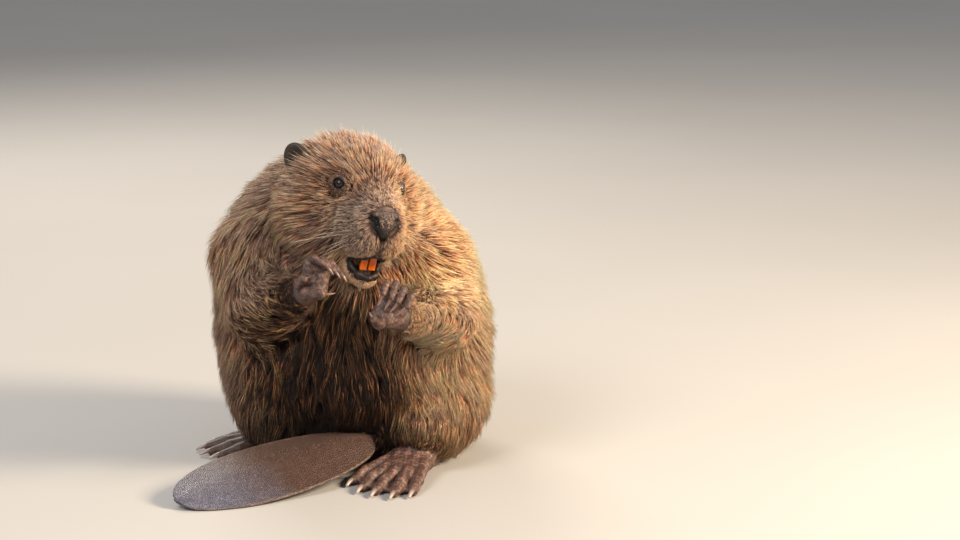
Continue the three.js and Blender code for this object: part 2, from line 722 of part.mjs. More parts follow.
// ----------------------------------------------------------------------------
// Head, trunk and limbs in their coat
// ----------------------------------------------------------------------------
const onHead = ({ at, size }, name = "left") => blob(head, mirrored(at, name), size);
const onBothSides = (form) => SIDES.map((name) => onHead(form, name));
const lipField = (name) => {
  const [from, to] = [LIP.from, LIP.to].map((p) => place(head, mirrored(p, name)));
  return bone(from, to, ...LIP.r);
};
const skull = blended(
  BLEND.head,
  onHead(CRANIUM),
  bone(place(head, BRIDGE.from), place(head, BRIDGE.to), ...BRIDGE.r),
  ...onBothSides(CHEEK),
  ...SIDES.map(lipField),
  blended(BLEND.muzzle, onHead(MUZZLE), ...onBothSides(LIP_PAD)),
  onHead(NOSE),
);
const gape = onHead(MOUTH);
const headField = hollowed(BLEND.rim, skull, gape);
const jawField = chain(JAW.map(({ at, r }) => ({ at: place(head, at), r })), BLEND.muzzle);

const upright = new THREE.Matrix4();
const trunkField = blended(
  BLEND.trunk,
  ...TRUNK.map(({ at, size }) => blob(upright, at, size)),
  bone(place(head, NECK.from), NECK.to, ...NECK.r),
);

function thighField(name) {
  const { at, size, yaw } = THIGH[name];
  const { from, to, r } = SHIN[name];
  return blended(BLEND.limb, blob(frame(at, yaw), [0, 0, 0], size), bone(from, to, ...r));
}

const coatField = blended(
  BLEND.limb,
  trunkField,
  ...SIDES.map(thighField),
  ...SIDES.map((name) => bone(SHOULDER[name], ELBOW[name], ...FORELEG.upper)),
  ...SIDES.map((name) => bone(ELBOW[name], WRIST[name], ...FORELEG.lower)),
  chain(TAIL_ROOT, BLEND.tail),
);
const wholeField = blended(BLEND.head, coatField, headField);

const WHOLE = [
  [-200, -240, -30],
  [210, 210, 440],
];

// Part of the coated body inside the region of a field, wrapped finely, with the region's own cutter.
const PAST_CUT = 8;
function region(field, points, margin) {
  const around = boxAround(points, margin);
  const room = formed(field, around, GRID.cut, SLACK.cut);
  const bounded = (x, y, z) => Math.max(wholeField(x, y, z), field(x, y, z) - PAST_CUT);
  const fine = formed(bounded, around, GRID.limb, SLACK.limb);
  return { body: fine.body.intersect(room.body), cutter: room.cutter };
}

function limbs() {
  for (const name of SIDES) {
    const joints = [SHOULDER[name], ELBOW[name], WRIST[name]];
    const arm = chain(joints.map((at, i) => ({ at, r: FORELEG.room[i] })), BLEND.limb);
    give(`foreleg_${name}`, region(arm, joints, 76), FUR_BROWN);
    const thigh = thighField(name);
    give(`thigh_${name}`, region((x, y, z) => thigh(x, y, z) - 4, [THIGH[name].at], 125), FUR_BROWN);
  }
}

// The room round the head, above the chin and in front of the nape plane moved back by a distance.
function frontRoom(back) {
  const slope = vec(THROAT).sub(vec(NAPE));
  const forward = vec([-slope.z, 0, slope.x]).normalize().transformDirection(head);
  const point = vec(place(head, NAPE)).addScaledVector(forward, -back).toArray();
  const up = vec([0, 0, 1]).transformDirection(head).toArray();
  const ball = new THREE.SphereGeometry(1, 14, 8).scale(...HEAD_ROOM);
  const round = fitted(sealed(ball).applyMatrix4(head));
  const within = (made, gap) =>
    made
      .intersect(halfSpace(point, forward.toArray(), gap))
      .intersect(halfSpace(place(head, CHIN), up, gap));
  return { body: within(round.body, 0), cutter: within(round.cutter, GAP) };
}

function headAndNeck(body) {
  const room = frontRoom(0);
  const neckRoom = frontRoom(NECK_LENGTH);
  const limit = blob(head, [0, 0, 0], HEAD_ROOM.map((v) => v - 4));
  const bounded = (x, y, z) => Math.max(wholeField(x, y, z), limit(x, y, z));
  const around = boxAround([HEAD.at], 160);
  const fine = formed(bounded, around, GRID.head, SLACK.head).body;
  const jaw = formed(jawField, around, GRID.jaw, SLACK.jaw);
  const opening = formed(gape, around, GRID.jaw, SLACK.jaw).body;
  const noseRoom = formed(onHead(NOSE_PAD), around, GRID.jaw, SLACK.jaw);
  give("nose", { body: fine.intersect(noseRoom.body), cutter: noseRoom.cutter }, DARK_SKIN);
  const jawBody = jaw.body.intersect(room.body).subtract(opening);
  give("lower_jaw", { body: jawBody, cutter: jaw.cutter.intersect(room.cutter) }, FUR_BROWN);
  give("head", { body: fine.intersect(room.body), cutter: room.cutter }, FUR_BROWN);
  give("neck", { body: body.intersect(neckRoom.body), cutter: neckRoom.cutter }, FUR_BROWN);
}

eyes();
incisors();
ears();
SIDES.forEach(forepaw);
SIDES.forEach(hindFoot);
tailBlade();

const coated = formed(wholeField, WHOLE, GRID.trunk, SLACK.trunk).body;
limbs();
headAndNeck(coated);
const hairyTail = chain(TAIL_ROOT, BLEND.tail);
give("tail_root", region(hairyTail, TAIL_ROOT.map(({ at }) => at), 60), FUR_BROWN);
give("trunk", { body: coated, cutter: coated }, FUR_BROWN);

model.position.set(-SEAT[0], -SEAT[1], 0);

export default model;
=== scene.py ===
import math

import bpy
import numpy as np
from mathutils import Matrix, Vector, kdtree


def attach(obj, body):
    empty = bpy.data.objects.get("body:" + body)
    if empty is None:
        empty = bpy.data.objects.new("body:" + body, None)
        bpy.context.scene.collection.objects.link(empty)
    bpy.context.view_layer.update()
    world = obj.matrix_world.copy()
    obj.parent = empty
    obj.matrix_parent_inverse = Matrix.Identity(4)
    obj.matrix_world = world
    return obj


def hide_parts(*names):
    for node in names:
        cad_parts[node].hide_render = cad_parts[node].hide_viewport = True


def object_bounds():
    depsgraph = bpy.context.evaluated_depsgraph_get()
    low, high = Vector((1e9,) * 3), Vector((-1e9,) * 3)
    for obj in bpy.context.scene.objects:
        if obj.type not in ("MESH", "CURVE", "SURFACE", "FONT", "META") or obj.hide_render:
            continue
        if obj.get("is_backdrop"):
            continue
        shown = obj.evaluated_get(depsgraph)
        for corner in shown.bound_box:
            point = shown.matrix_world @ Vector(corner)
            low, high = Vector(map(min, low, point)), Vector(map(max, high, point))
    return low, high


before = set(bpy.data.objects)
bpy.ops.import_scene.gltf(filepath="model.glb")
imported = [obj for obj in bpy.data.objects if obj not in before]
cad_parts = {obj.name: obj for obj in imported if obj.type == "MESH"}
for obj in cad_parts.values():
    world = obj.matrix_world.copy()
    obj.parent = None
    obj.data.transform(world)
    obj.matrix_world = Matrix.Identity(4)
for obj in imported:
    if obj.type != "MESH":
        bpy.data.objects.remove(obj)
CAD_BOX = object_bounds()
rng = np.random.default_rng(7)

# ---- Driving dimensions, in millimetres and degrees ----
SEAT = np.array([52.0, 56.0, 0.0])
SIDES = {"left": 1, "right": -1}
# How many mm round a join two forms flow into each other.
BLEND = {
    "trunk": 40, "limb": 26, "head": 20, "muzzle": 9, "rim": 4, "paw": 4, "foot": 5, "tail": 10, "wrist": 9,
    "finger": 1.2, "toe": 3, "nose": 3, "philtrum": 1.6, "lip": 3, "ear": 5, "lid": 4, "lid_gap": 0.6,
    "nostril": 1.2,
}

HEAD = {"at": (4, -84, 329), "yaw": 24, "pitch": 2, "roll": 9.5}
CRANIUM = ((-16, 0, 20), (72, 66, 53))
BRIDGE = ((26, 0, 24), (80, 0, 4), 41, 26)
CHEEK = ((-8, 38, -16), (54, 40, 50))
MUZZLE = ((70, 0, -13), (40, 35, 32))
LIP_PAD = ((82, 15, -28), (24, 20, 21))
LIP = ((62, 20, -31), (16, 38, -38), 17, 24)
JAW = [((0, 0, -46), 42), ((50, 0, -64), 24), ((70, 0, -71), 16.5)]
MOUTH = ((80, -1, -61), (26, 19, 13))
NOSE = ((96, 0, -2), (17, 18, 17))
NOSE_BALL = ((97, 0, 1.5), (16, 14.5, 13))
NOSE_PLATE = ((105.5, 0, -3.5), (8, 12.5, 12))
NOSE_WING = [((108, 6, 8), 2.8), ((105.5, 12, 6.5), 3.3), ((101, 15, -1), 3.0), ((100, 13.2, -8.5), 2.4)]
NOSE_TIP = ((103.5, 0, -14), (8.5, 6.8, 7))
NOSE_PAD = ((107, 0, -1), (19, 16.6, 16.4))
NOSE_BED = {"at": (110, 0, -3), "depth": 4.5, "inside": 13, "outside": 21}
NOSTRIL = [((108.4, 10.4, -6), 3.4), ((107.4, 13.2, 0), 3.0), ((102, 17.6, 3), 1.8)]
NOSE_GROOVE = ((115.6, 0, -7), (111.5, 0, -18), 0.8, 1.1)
UPPER_LIP = [((95, 0, -44), 2.0), ((90, 11, -47), 2.2), ((76, 17.5, -50), 2.4), ((62, 18, -56), 2.6)]
LOWER_LIP = [((62, 17.5, -56), 2.2), ((68, 15, -64), 2.7), ((78, 10.5, -69.8), 2.9), ((85.5, 0, -72), 3.0)]
PHILTRUM = ((111.5, 0, -18), (98, 0, -47), 1.2, 1.6)
EYE = {"at": (47, 38.5, 29), "r": 6.6}
EYE_SUNK = 1.3
LID_GAP = (7.4, 5.7)
EAR = {"at": (-32, 63, 38), "size": (6, 16, 22.5), "lean": 24, "turn": 34, "tip": -7}
EAR_HOLLOW = ((8.5, 0, 3), (8, 12, 18))
EAR_STALK = ((-3, 0, -12), (-6, 0, -24), 7, 9)
INCISOR = {
    "at": (78, -0.6, -46), "width": 8.8, "gap": 1.7, "length": 17.6, "thick": 5, "bend": 26, "slope": 84,
}

TRUNK = [
    ((-1, 20, 152), (170, 146, 134)),
    ((-8, 4, 228), (152, 124, 104)),
    ((-20, 12, 294), (117, 96, 69)),
    ((8, 72, 176), (132, 98, 130)),
    ((30, 72, 84), (112, 98, 88)),
]
NECK = ((-20, 0, 0), (-14, 10, 290), 74, 94)
THIGH = {"left": ((98, -22, 78), (88, 62, 82), -32), "right": ((-76, 0, 86), (82, 72, 88), -60)}
SHIN = {"left": ((98, -44, 74), (88, -84, 50), 42, 28), "right": ((-62, 8, 70), (-72, 26, 48), 42, 29)}
SHOULDER = {"left": (84, -36, 250), "right": (-112, -30, 254)}
ELBOW = {"left": (114, -92, 196), "right": (-106, -88, 202)}
WRIST = {"left": (70, -154, 203), "right": (-50, -158, 234)}
FORELEG = {n: [(SHOULDER[n], ELBOW[n], 57, 38), (ELBOW[n], WRIST[n], 34, 19)] for n in SIDES}

# The forepaws are told by places round their empty grip: along it, angle, distance out. A finger's numbers
# are its base and knuckle along the grip, the knuckle's distance out, and its end and claw along the grip.
GRIP = {"at": (-25.5, -190, 264.5), "along": (0.88, 0, -0.475)}
PAW = {
    "left": {
        "palm": ((88, -38, 23), 13, 8),
        "fingers": [
            (80, 70, 24, 71, 72), (86, 79.5, 30, 81.5, 81), (92, 90, 29, 91, 88), (98, 101, 25, 102.5, 96),
        ],
        "end": (121, 18.5),
        "claw": (176, 10.5),
        "lower": [((84, -70, 22), (76, -100, 17), (8, 5), (68, -118, 13))],
    },
    "right": {
        "palm": ((1, -58, 26), 11.5, 7),
        "fingers": [(-17, -16, 13, -1, 11), (-8.5, -6.5, 15.5, 8.5, 20), (0, 3.5, 17, 18, 28)],
        "end": (112, 13.5),
        "claw": (132, 10.5),
        "lower": [
            ((-6, -92, 28), (9, -124, 21), (7.6, 5.2), (22, -138, 14)),
            ((-18, -64, 27), (-16, -90, 14), (6.4, 4.6), (-13, -112, 10)),
        ],
    },
}
FINGER = {"base": (20, 20), "knuckle": 84, "r": {"left": (6.0, 4.5, 3.4), "right": (5.4, 3.9, 3.0)}}
CLAW = {"paw": {"r": 2.2, "bend": 36, "taper": 0.86}, "foot": {"r": 3.5, "bend": 24, "taper": 0.62}}

HEEL = {"left": (98, -40, 0), "right": (-28, 36, 0)}
FOOT_YAW = {"left": -20, "right": -76}
FOOT = [
    ((16, 0, 14), (58, 2, 21), 17, 18),
    ((44, 0, 26), (38, 0, 52), 21, 23),
    ((56, -8, 18), (66, 16, 18), 15, 15),
]
TOES = [((138, 56), 84), ((160, 34), 92), ((168, 13), 94), ((169, -11), 90), ((156, -30), 80)]
TOE_RADII = (11, 8.5, 6.8, 5.6)
WEB = {"root": (60, 4, 9), "inside": 26, "height": 4, "r": 3}

TAIL = {"at": (-84, -158, 24), "yaw": -56, "pitch": 6.5, "roll": 20, "size": (135, 53)}
PADDLE = {"power": 2.1, "neck": 0.9}
RIM = 1.7
TAIL_THICK = {"root": 17, "tip": 4, "rim": 0.3, "ridge": 1.6, "ridge_width": 0.45}
TAIL_SCALE = (2.2, 2.9)
TAIL_ROOT = [((84, 84, 34), 36), ((62, 10, 30), 31), ((22, -74, 28), 19)]


# ---- Frames and fields ----
def turned(axis, degrees):
    c, s = math.cos(math.radians(degrees)), math.sin(math.radians(degrees))
    a, b = [(1, 2), (2, 0), (0, 1)]["xyz".index(axis)]
    m = np.eye(3)
    m[a, a] = m[b, b] = c
    m[a, b], m[b, a] = -s, s
    return m


class Axes:
    """A place with its own axes: x forward, y to the animal's left, z up."""

    def __init__(self, at, matrix):
        self.at = np.array(at, float)
        self.matrix = matrix

    def out(self, points):
        return np.asarray(points, float) @ self.matrix.T + self.at

    def into(self, points):
        return (points - self.at) @ self.matrix


def axes_at(at, yaw, pitch=0, roll=0):
    return Axes(at, turned("z", yaw - 90) @ turned("y", pitch) @ turned("x", -roll))


UPRIGHT = Axes((0, 0, 0), np.eye(3))
head = axes_at(**HEAD)


def mirrored(p, name):
    return (p[0], p[1] * SIDES[name], p[2])


def at_head(p, name):
    """A place told in the head's axes for the left side, on either side."""
    return head.out(mirrored(p, name))


def blob(axes, centre, size):
    centre, size = np.array(centre, float), np.array(size, float)

    def field(points):
        q = np.abs((axes.into(points) - centre) / size)
        k = np.sqrt((q * q).sum(1))
        steep = np.maximum(np.sqrt(((q / size) ** 2).sum(1)), 1e-9)
        return k * (k - 1) / steep

    return field


def bone(start, end, r0, r1):
    start, end = np.array(start, float), np.array(end, float)
    along = end - start

    def field(points):
        p = points - start
        t = np.clip(p @ along / (along @ along), 0, 1)
        return np.linalg.norm(p - t[:, None] * along, axis=1) - (r0 + (r1 - r0) * t)

    return field


def chain(points, k):
    return blended(k, *[bone(a, b, r0, r1) for (a, r0), (b, r1) in zip(points, points[1:])])


def web(a, b, c, r):
    """A sheet over the triangle abc with round edges."""
    a, b, c = (np.array(p, float) for p in (a, b, c))
    normal = np.cross(b - a, c - a)
    normal /= np.linalg.norm(normal)
    rims = [bone(a, b, 0, 0), bone(b, c, 0, 0), bone(c, a, 0, 0)]

    def field(points):
        inside = np.ones(len(points), bool)
        for p, q in ((a, b), (b, c), (c, a)):
            inside &= (points - p) @ np.cross(normal, q - p) >= 0
        rim = np.minimum.reduce([f(points) for f in rims])
        return np.where(inside, np.abs((points - a) @ normal), rim) - r

    return field


def soft_min(k, d, e):
    h = np.maximum(k - np.abs(d - e), 0) / k
    return np.minimum(d, e) - h * h * k / 4


def soft_max(k, d, e):
    return -soft_min(k, -d, -e)


def blended(k, *fields):
    def field(points):
        d = fields[0](points)
        for f in fields[1:]:
            d = soft_min(k, d, f(points))
        return d

    return field


def hollowed(k, form, hollow):
    return lambda points: soft_max(k, form(points), -hollow(points))


FAR = 60.0


def near(field, centre, reach):
    """The field where it matters: it isn't worked out beyond a distance from a centre."""
    centre = np.array(centre, float)

    def quick(points):
        out = np.full(len(points), FAR)
        close = (np.abs(points - centre) < reach).all(1)
        if close.any():
            out[close] = field(points[close])
        return out

    return quick


GRADIENT_STEP = 0.3


def gradient(field, points):
    """A field's values, and how they change along each axis."""
    d = field(points)
    ahead = [field(points + GRADIENT_STEP * step) for step in np.eye(3)]
    return d, np.stack([(value - d) / GRADIENT_STEP for value in ahead], 1)


def settle(field, points, most, level=0.0):
    """Draws points onto a level of a field, each by no more than a distance."""
    d, g = gradient(field, points)
    slope = np.maximum((g * g).sum(1), 0.25)
    step = np.clip((d - level) / slope, -most, most)
    return points - g * step[:, None]


def unit(v):
    """A vector, or each row of vectors, with its length made 1."""
    return v / np.maximum(np.linalg.norm(v, axis=-1, keepdims=True), 1e-9)


def smooth(x, low, high):
    t = np.clip((x - low) / (high - low), 0, 1)
    return t * t * (3 - 2 * t)


def within(distance, inner, outer):
    """1 up to an inner distance, and 0 from an outer one."""
    return 1 - smooth(distance, inner, outer)


def apart(points, at, size=1.0):
    """How far points are from a place, in units of a size that may differ by axis."""
    return np.linalg.norm((points - at) / size, axis=1)


def ripple(points, wavelength, seed):
    """A smooth random value from -1 to 1 that changes over a wavelength."""
    draw = np.random.default_rng(seed)
    total = 0
    for _ in range(5):
        way = unit(draw.normal(size=3)) * (2 * math.pi / wavelength) * draw.uniform(0.7, 1.4)
        total = total + np.sin(points @ way + draw.uniform(0, 2 * math.pi))
    return np.clip(total / 2.6, -1, 1)


# ---- The coat's outer form, and its depth ----
def on_head(form, name="left"):
    return blob(head, mirrored(form[0], name), form[1])


def head_bone(start, end, r0, r1, name="left"):
    return bone(at_head(start, name), at_head(end, name), r0, r1)


skull = blended(
    BLEND["head"],
    on_head(CRANIUM),
    head_bone(*BRIDGE),
    *[on_head(CHEEK, name) for name in SIDES],
    *[head_bone(*LIP, name) for name in SIDES],
    blended(BLEND["muzzle"], on_head(MUZZLE), *[on_head(LIP_PAD, name) for name in SIDES]),
    on_head(NOSE),
)
gape = on_head(MOUTH)
jaw = hollowed(BLEND["rim"], chain([(head.out(at), r) for at, r in JAW], BLEND["muzzle"]), gape)
head_form = blended(BLEND["rim"], hollowed(BLEND["rim"], skull, gape), jaw)
head_near = near(head_form, HEAD["at"], 175)

trunk_form = blended(
    BLEND["trunk"],
    *[blob(UPRIGHT, at, size) for at, size in TRUNK],
    bone(head.out(NECK[0]), NECK[1], *NECK[2:]),
)


def thigh(name):
    at, size, yaw = THIGH[name]
    return blended(BLEND["limb"], blob(axes_at(at, yaw), (0, 0, 0), size), bone(*SHIN[name]))


body_form = blended(
    BLEND["limb"],
    trunk_form,
    *[thigh(name) for name in SIDES],
    *[bone(*FORELEG[name][part]) for part in (0, 1) for name in SIDES],
    chain(TAIL_ROOT, BLEND["tail"]),
)
coat_form = blended(BLEND["head"], body_form, head_near)

# How deep the coat is at chosen places: place, how far round it that depth holds, depth. Elsewhere it is
# the body's.
BODY_DEPTH = 14.0
SPOTS = [
    (head.out((-40, 0, 62)), 55, 11),
    (head.out((30, 0, 60)), 42, 7),
    (head.out((84, 0, 24)), 28, 3.0),
    (head.out((106, 0, 0)), 19, 2.6),
    (head.out((66, 0, -92)), 22, 5),
    *[(at_head((56, 46, 6), n), 34, 6) for n in SIDES],
    *[(at_head((86, 24, -22), n), 27, 3.5) for n in SIDES],
    *[(at_head((0, 72, -10), n), 46, 10) for n in SIDES],
    *[(at_head(EAR["at"], n), 20, 5) for n in SIDES],
    *[(np.array(WRIST[n]), 30, 2) for n in SIDES],
    *[((np.array(WRIST[n]) + np.array(ELBOW[n])) / 2, 36, 8) for n in SIDES],
    *[(np.array(SHIN[n][1]) - (0, 0, 12), 34, 3.5) for n in SIDES],
    (np.array(TAIL_ROOT[2][0]), 42, 5),
    (np.array((-2.0, -88, 26)), 26, 2),
]

# Round mouth and eyes the coat thins out to the lips and lids: place, inner and outer reach, depth.
THIN = [
    (head.out(MOUTH[0]), 25, 40, 1.6),
    *[(at_head(EYE["at"], n), 8, 19, 1.0) for n in SIDES],
]


def coat_depth(points):
    weight = np.ones(len(points))
    total = np.full(len(points), BODY_DEPTH)
    for at, reach, depth in SPOTS:
        w = 30 * np.exp(-3.4 * ((points - at) ** 2).sum(1) / reach**2)
        weight += w
        total += w * depth
    depth = total / weight
    for at, inner, outer, bare in THIN:
        depth += (bare - depth) * within(apart(points, at), inner, outer)
    return depth


def hide(points):
    """The skin where the coat grows."""
    return coat_form(points) + coat_depth(points)


# ---- Bare forms: nose, lips, lids, ears, forepaws, hind feet and tail blade ----
grip_axis = unit(np.array(GRIP["along"]))
grip_back = unit(np.array([0, 1, 0]) - grip_axis * grip_axis[1])
grip_top = np.cross(grip_axis, grip_back)


def beside(along, angle, out):
    """A place by the grip."""
    a = math.radians(angle)
    outward = grip_back * math.cos(a) + grip_top * math.sin(a)
    return np.array(GRIP["at"]) + grip_axis * along + out * outward


def paw_parts(name):
    """A forepaw's fields, and the base and tip of each claw."""
    spec = PAW[name]
    (along, angle, out), r, width = spec["palm"]
    heel = beside(along, angle, out)
    rim = [beside(spec["fingers"][i][0], 0, FINGER["base"][1]) for i in (0, -1)]
    fields = [
        bone(WRIST[name], heel, 12, r),
        bone(beside(along - width, angle, out), rim[0], r * 0.75, 8),
        bone(beside(along + width, angle, out), rim[1], r * 0.75, 8),
        bone(*rim, 8, 8),
    ]
    claws = []
    for base, knuckle, high, end, claw in spec["fingers"]:
        joints = [
            beside(base, *FINGER["base"]),
            beside(knuckle, FINGER["knuckle"], high),
            beside(end, *spec["end"]),
        ]
        radii = FINGER["r"][name]
        fields.append(chain(list(zip(joints, radii)), 1.5))
        second_knuckle = joints[1] * 0.45 + joints[2] * 0.55
        r_knuckle = radii[1] * 0.95
        fields.append(bone(second_knuckle, second_knuckle + (0, -0.5, 0), r_knuckle, r_knuckle))
        claws.append((joints[2], beside(claw, *spec["claw"])))
    for start, end, radii, claw in spec["lower"]:
        fields.append(bone(beside(*start), beside(*end), *radii))
        claws.append((beside(*end), beside(*claw)))
    return fields, claws


def foot_parts(name):
    """A hind foot's fields, and the base and tip of each claw."""
    foot = axes_at(HEEL[name], FOOT_YAW[name])

    def spot(x, y, z):
        return foot.out((x, -y * SIDES[name], z))

    fields = [bone(spot(*a), spot(*b), r0, r1) for a, b, r0, r1 in FOOT]
    ends = [spot(x - WEB["inside"], y * 0.93, WEB["height"]) for (x, y), _ in TOES]
    fields += [web(spot(*WEB["root"]), a, b, WEB["r"]) for a, b in zip(ends, ends[1:])]
    claws = []
    for (x, y), knuckle in TOES:
        joints = [(48, y * 0.2, 25), (knuckle, y * 0.56, 17), (x - 38, y * 0.86, 11), (x - 15, y * 0.97, 5)]
        fields.append(chain([(spot(*p), r) for p, r in zip(joints, TOE_RADII)], BLEND["toe"]))
        claws.append((spot(x - 15, y * 0.97, 7), spot(x, y, 2.5)))
    return fields, claws


def ear_axes(name):
    # The ear turns about its own x first, then its own y, then its own z.
    lean, tip, turn = -SIDES[name] * EAR["lean"], EAR["tip"], SIDES[name] * EAR["turn"]
    local = turned("x", lean) @ turned("y", tip) @ turned("z", turn)
    return Axes(at_head(EAR["at"], name), head.matrix @ local)


def ear(name):
    axes = ear_axes(name)
    cup = hollowed(BLEND["rim"], blob(axes, (0, 0, 0), EAR["size"]), blob(axes, *EAR_HOLLOW))
    stalk = bone(axes.out(EAR_STALK[0]), axes.out(EAR_STALK[1]), *EAR_STALK[2:])
    return blended(BLEND["paw"], cup, stalk)


tail_axes = axes_at(TAIL["at"], TAIL["yaw"], TAIL["pitch"], TAIL["roll"])


def paddle(u):
    """The blade's half width, as a share of its widest."""
    inside = np.maximum(1 - np.abs(u) ** PADDLE["power"], 1e-5)
    return (PADDLE["neck"] + (1 - PADDLE["neck"]) * smooth(u, -1, 1)) * inside ** (1 / PADDLE["power"])


def tail_blade(points):
    """A lens with a round rim: u runs along it and v across it, both from -1 to 1."""
    t = TAIL_THICK
    length, width = TAIL["size"][0] - RIM, TAIL["size"][1] - RIM
    x, y, z = tail_axes.into(points).T
    u = np.clip(x / length, -0.999, 0.999)
    half = width * paddle(u)
    v = np.clip(y / half, -1, 1)
    beyond = np.hypot(np.maximum(np.abs(y) - half, 0), np.maximum(np.abs(x) - length, 0))
    thick = (t["root"] + (t["tip"] - t["root"]) * (u + 1) / 2) * (1 - u * u) ** 0.35
    lens = (1 - v * v) * (t["rim"] + (1 - t["rim"]) * np.sqrt(1 - v * v))
    ridge = t["ridge"] * np.exp(-((v / t["ridge_width"]) ** 2)) * (1 - v * v)
    height = thick * lens + ridge - RIM * lens
    flat = np.maximum(np.abs(z) - np.maximum(height, 0), -14)
    return np.where(beyond > 0, np.hypot(beyond, z), flat) - RIM


paws = {name: paw_parts(name) for name in SIDES}
feet = {name: foot_parts(name) for name in SIDES}
paw_form, foot_form, ear_form = {}, {}, {}
for side in SIDES:
    knuckles = np.mean([base for base, tip in paws[side][1]], 0)
    instep = axes_at(HEEL[side], FOOT_YAW[side]).out((84, 0, 30))
    paw_form[side] = near(blended(BLEND["finger"], *paws[side][0]), knuckles, 70)
    foot_form[side] = near(blended(BLEND["foot"], *feet[side][0]), instep, 118)
    ear_form[side] = near(ear(side), at_head(EAR["at"], side), 42)
blade_form = near(tail_blade, TAIL["at"], 140)


def eye_axes(name):
    """The eye's own axes: it looks out along x, and is sunk a little from its CAD place."""
    turn = head.matrix @ turned("z", SIDES[name] * 52) @ turned("y", -8)
    return Axes(at_head(EYE["at"], name) - EYE_SUNK * turn[:, 0], turn)


def from_eyes(points):
    """How far points are from the middle of the nearer eye."""
    return np.min([apart(points, eye_axes(name).at) for name in SIDES], axis=0)


def lids(name):
    """Two lids round an eye, and the almond between them."""
    axes = eye_axes(name)
    r = EYE["r"]
    shell = blended(
        1.5,
        blob(axes, (-0.7, 0, 0.3), (r + 1.4, r + 2.0, r + 1.4)),
        bone(axes.out((3.0, 5.5 * SIDES[name], 5.4)), axes.out((3.4, -4.5 * SIDES[name], 6.4)), 1.7, 1.5),
    )
    radius = (LID_GAP[0] ** 2 + LID_GAP[1] ** 2) / (2 * LID_GAP[1])

    def almond(points):
        x, y, z = axes.into(points).T
        tilted = z - 0.1 * y * SIDES[name] + 0.2
        eyelet = np.hypot(y, np.abs(tilted) + radius - LID_GAP[1]) - radius
        return np.maximum(eyelet, 2.0 - x)

    return near(shell, axes.at, 22), near(almond, axes.at, 12)


def head_chain(points, k, name):
    return chain([(at_head(at, name), r) for at, r in points], k)


lid_forms = {name: lids(name) for name in SIDES}
philtrum = near(blended(1, head_bone(*NOSE_GROOVE), head_bone(*PHILTRUM)), head.out((105, 0, -28)), 30)
# A nostril is a comma: a hole whose tail runs back and up, under the nose's wing.
nostril_form = {name: near(head_chain(NOSTRIL, 2, name), head.out((106, 0, -3)), 30) for name in SIDES}
nose_form = near(
    blended(
        2.5,
        on_head(NOSE_BALL),
        on_head(NOSE_PLATE),
        on_head(NOSE_TIP),
        *[head_chain(NOSE_WING, 2, name) for name in SIDES],
    ),
    head.out((100, 0, -3)),
    32,
)
lip_form = near(
    blended(2, *[head_chain(lip, 6, name) for lip in (UPPER_LIP, LOWER_LIP) for name in SIDES]),
    head.out(MOUTH[0]),
    52,
)


def skin(points):
    """The skin of the whole animal."""
    bed = apart(points, head.out(NOSE_BED["at"]))
    d = hide(points) + NOSE_BED["depth"] * within(bed, NOSE_BED["inside"], NOSE_BED["outside"])
    d = soft_min(BLEND["nose"], d, nose_form(points))
    d = soft_max(BLEND["philtrum"], d, -philtrum(points))
    d = soft_min(BLEND["lip"], d, lip_form(points))
    for name in SIDES:
        d = soft_min(BLEND["ear"], d, ear_form[name](points))
        d = soft_min(BLEND["wrist"], d, paw_form[name](points))
        d = soft_min(BLEND["wrist"], d, foot_form[name](points))
    d = soft_min(BLEND["wrist"], d, blade_form(points))
    for name in SIDES:
        shell, opening = lid_forms[name]
        d = soft_min(BLEND["lid"], d, shell(points))
        d = soft_max(BLEND["lid_gap"], d, -opening(points))
        d = soft_max(BLEND["nostril"], d, -nostril_form[name](points))
    return np.maximum(d, -points[:, 2])


# ---- Surfaces from fields ----
SQUARE = ((0, 0), (1, 0), (1, 1), (0, 1))
STEPS = np.eye(3, dtype=int)
BLOCK = 5
PART = 200000


def in_parts(field, points):
    """Works a field out some points at a time, to save memory."""
    return np.concatenate([field(points[i : i + PART]) for i in range(0, len(points), PART)])


def corner_views(grid):
    """A grid's values at the eight corners of each of its cells."""
    n = np.array(grid.shape) - 1
    return [grid[a : a + n[0], b : b + n[1], c : c + n[2]] for a in (0, 1) for b in (0, 1) for c in (0, 1)]


def sampled(field, low, shape, cell):
    """The field on a grid, worked out only in the blocks that the surface may cross."""

    def full(coarse):
        for axis in range(3):
            coarse = coarse.repeat(BLOCK, axis)
        return coarse[: shape[0], : shape[1], : shape[2]]

    coarse_shape = [-(-n // BLOCK) + 1 for n in shape]
    lines = [low[i] + cell * BLOCK * np.arange(n) for i, n in enumerate(coarse_shape)]
    grid = np.stack(np.meshgrid(*lines, indexing="ij"), -1).reshape(-1, 3)
    corners = corner_views(in_parts(field, grid).reshape(coarse_shape))
    margin = cell * BLOCK * 0.9
    crossed = (np.minimum.reduce(corners) < margin) & (np.maximum.reduce(corners) > -margin)
    values = full(corners[0]).astype(np.float32)
    spots = np.argwhere(full(crossed))
    values[tuple(spots.T)] = in_parts(field, low + cell * spots)
    return values


def fill_saddles(values):
    """A square of the grid with two opposite corners inside would let two sheets share an edge, so one of
    its other corners is taken inside too."""
    found = True
    while found:
        found = False
        for a, b in ((0, 1), (1, 2), (0, 2)):
            ways = [i * STEPS[a] + j * STEPS[b] for i, j in SQUARE]
            size = np.array(values.shape) - STEPS[a] - STEPS[b]
            p, q, r, s = [values[tuple(slice(w, w + n) for w, n in zip(way, size))] < 0 for way in ways]
            for spot in np.argwhere((p == r) & (q == s) & (p != q)):
                outside = [tuple(spot + way) for way in ways if values[tuple(spot + way)] >= 0]
                if len(outside) == 2:
                    values[min(outside, key=lambda at: values[at])] = -1e-3
                    found = True


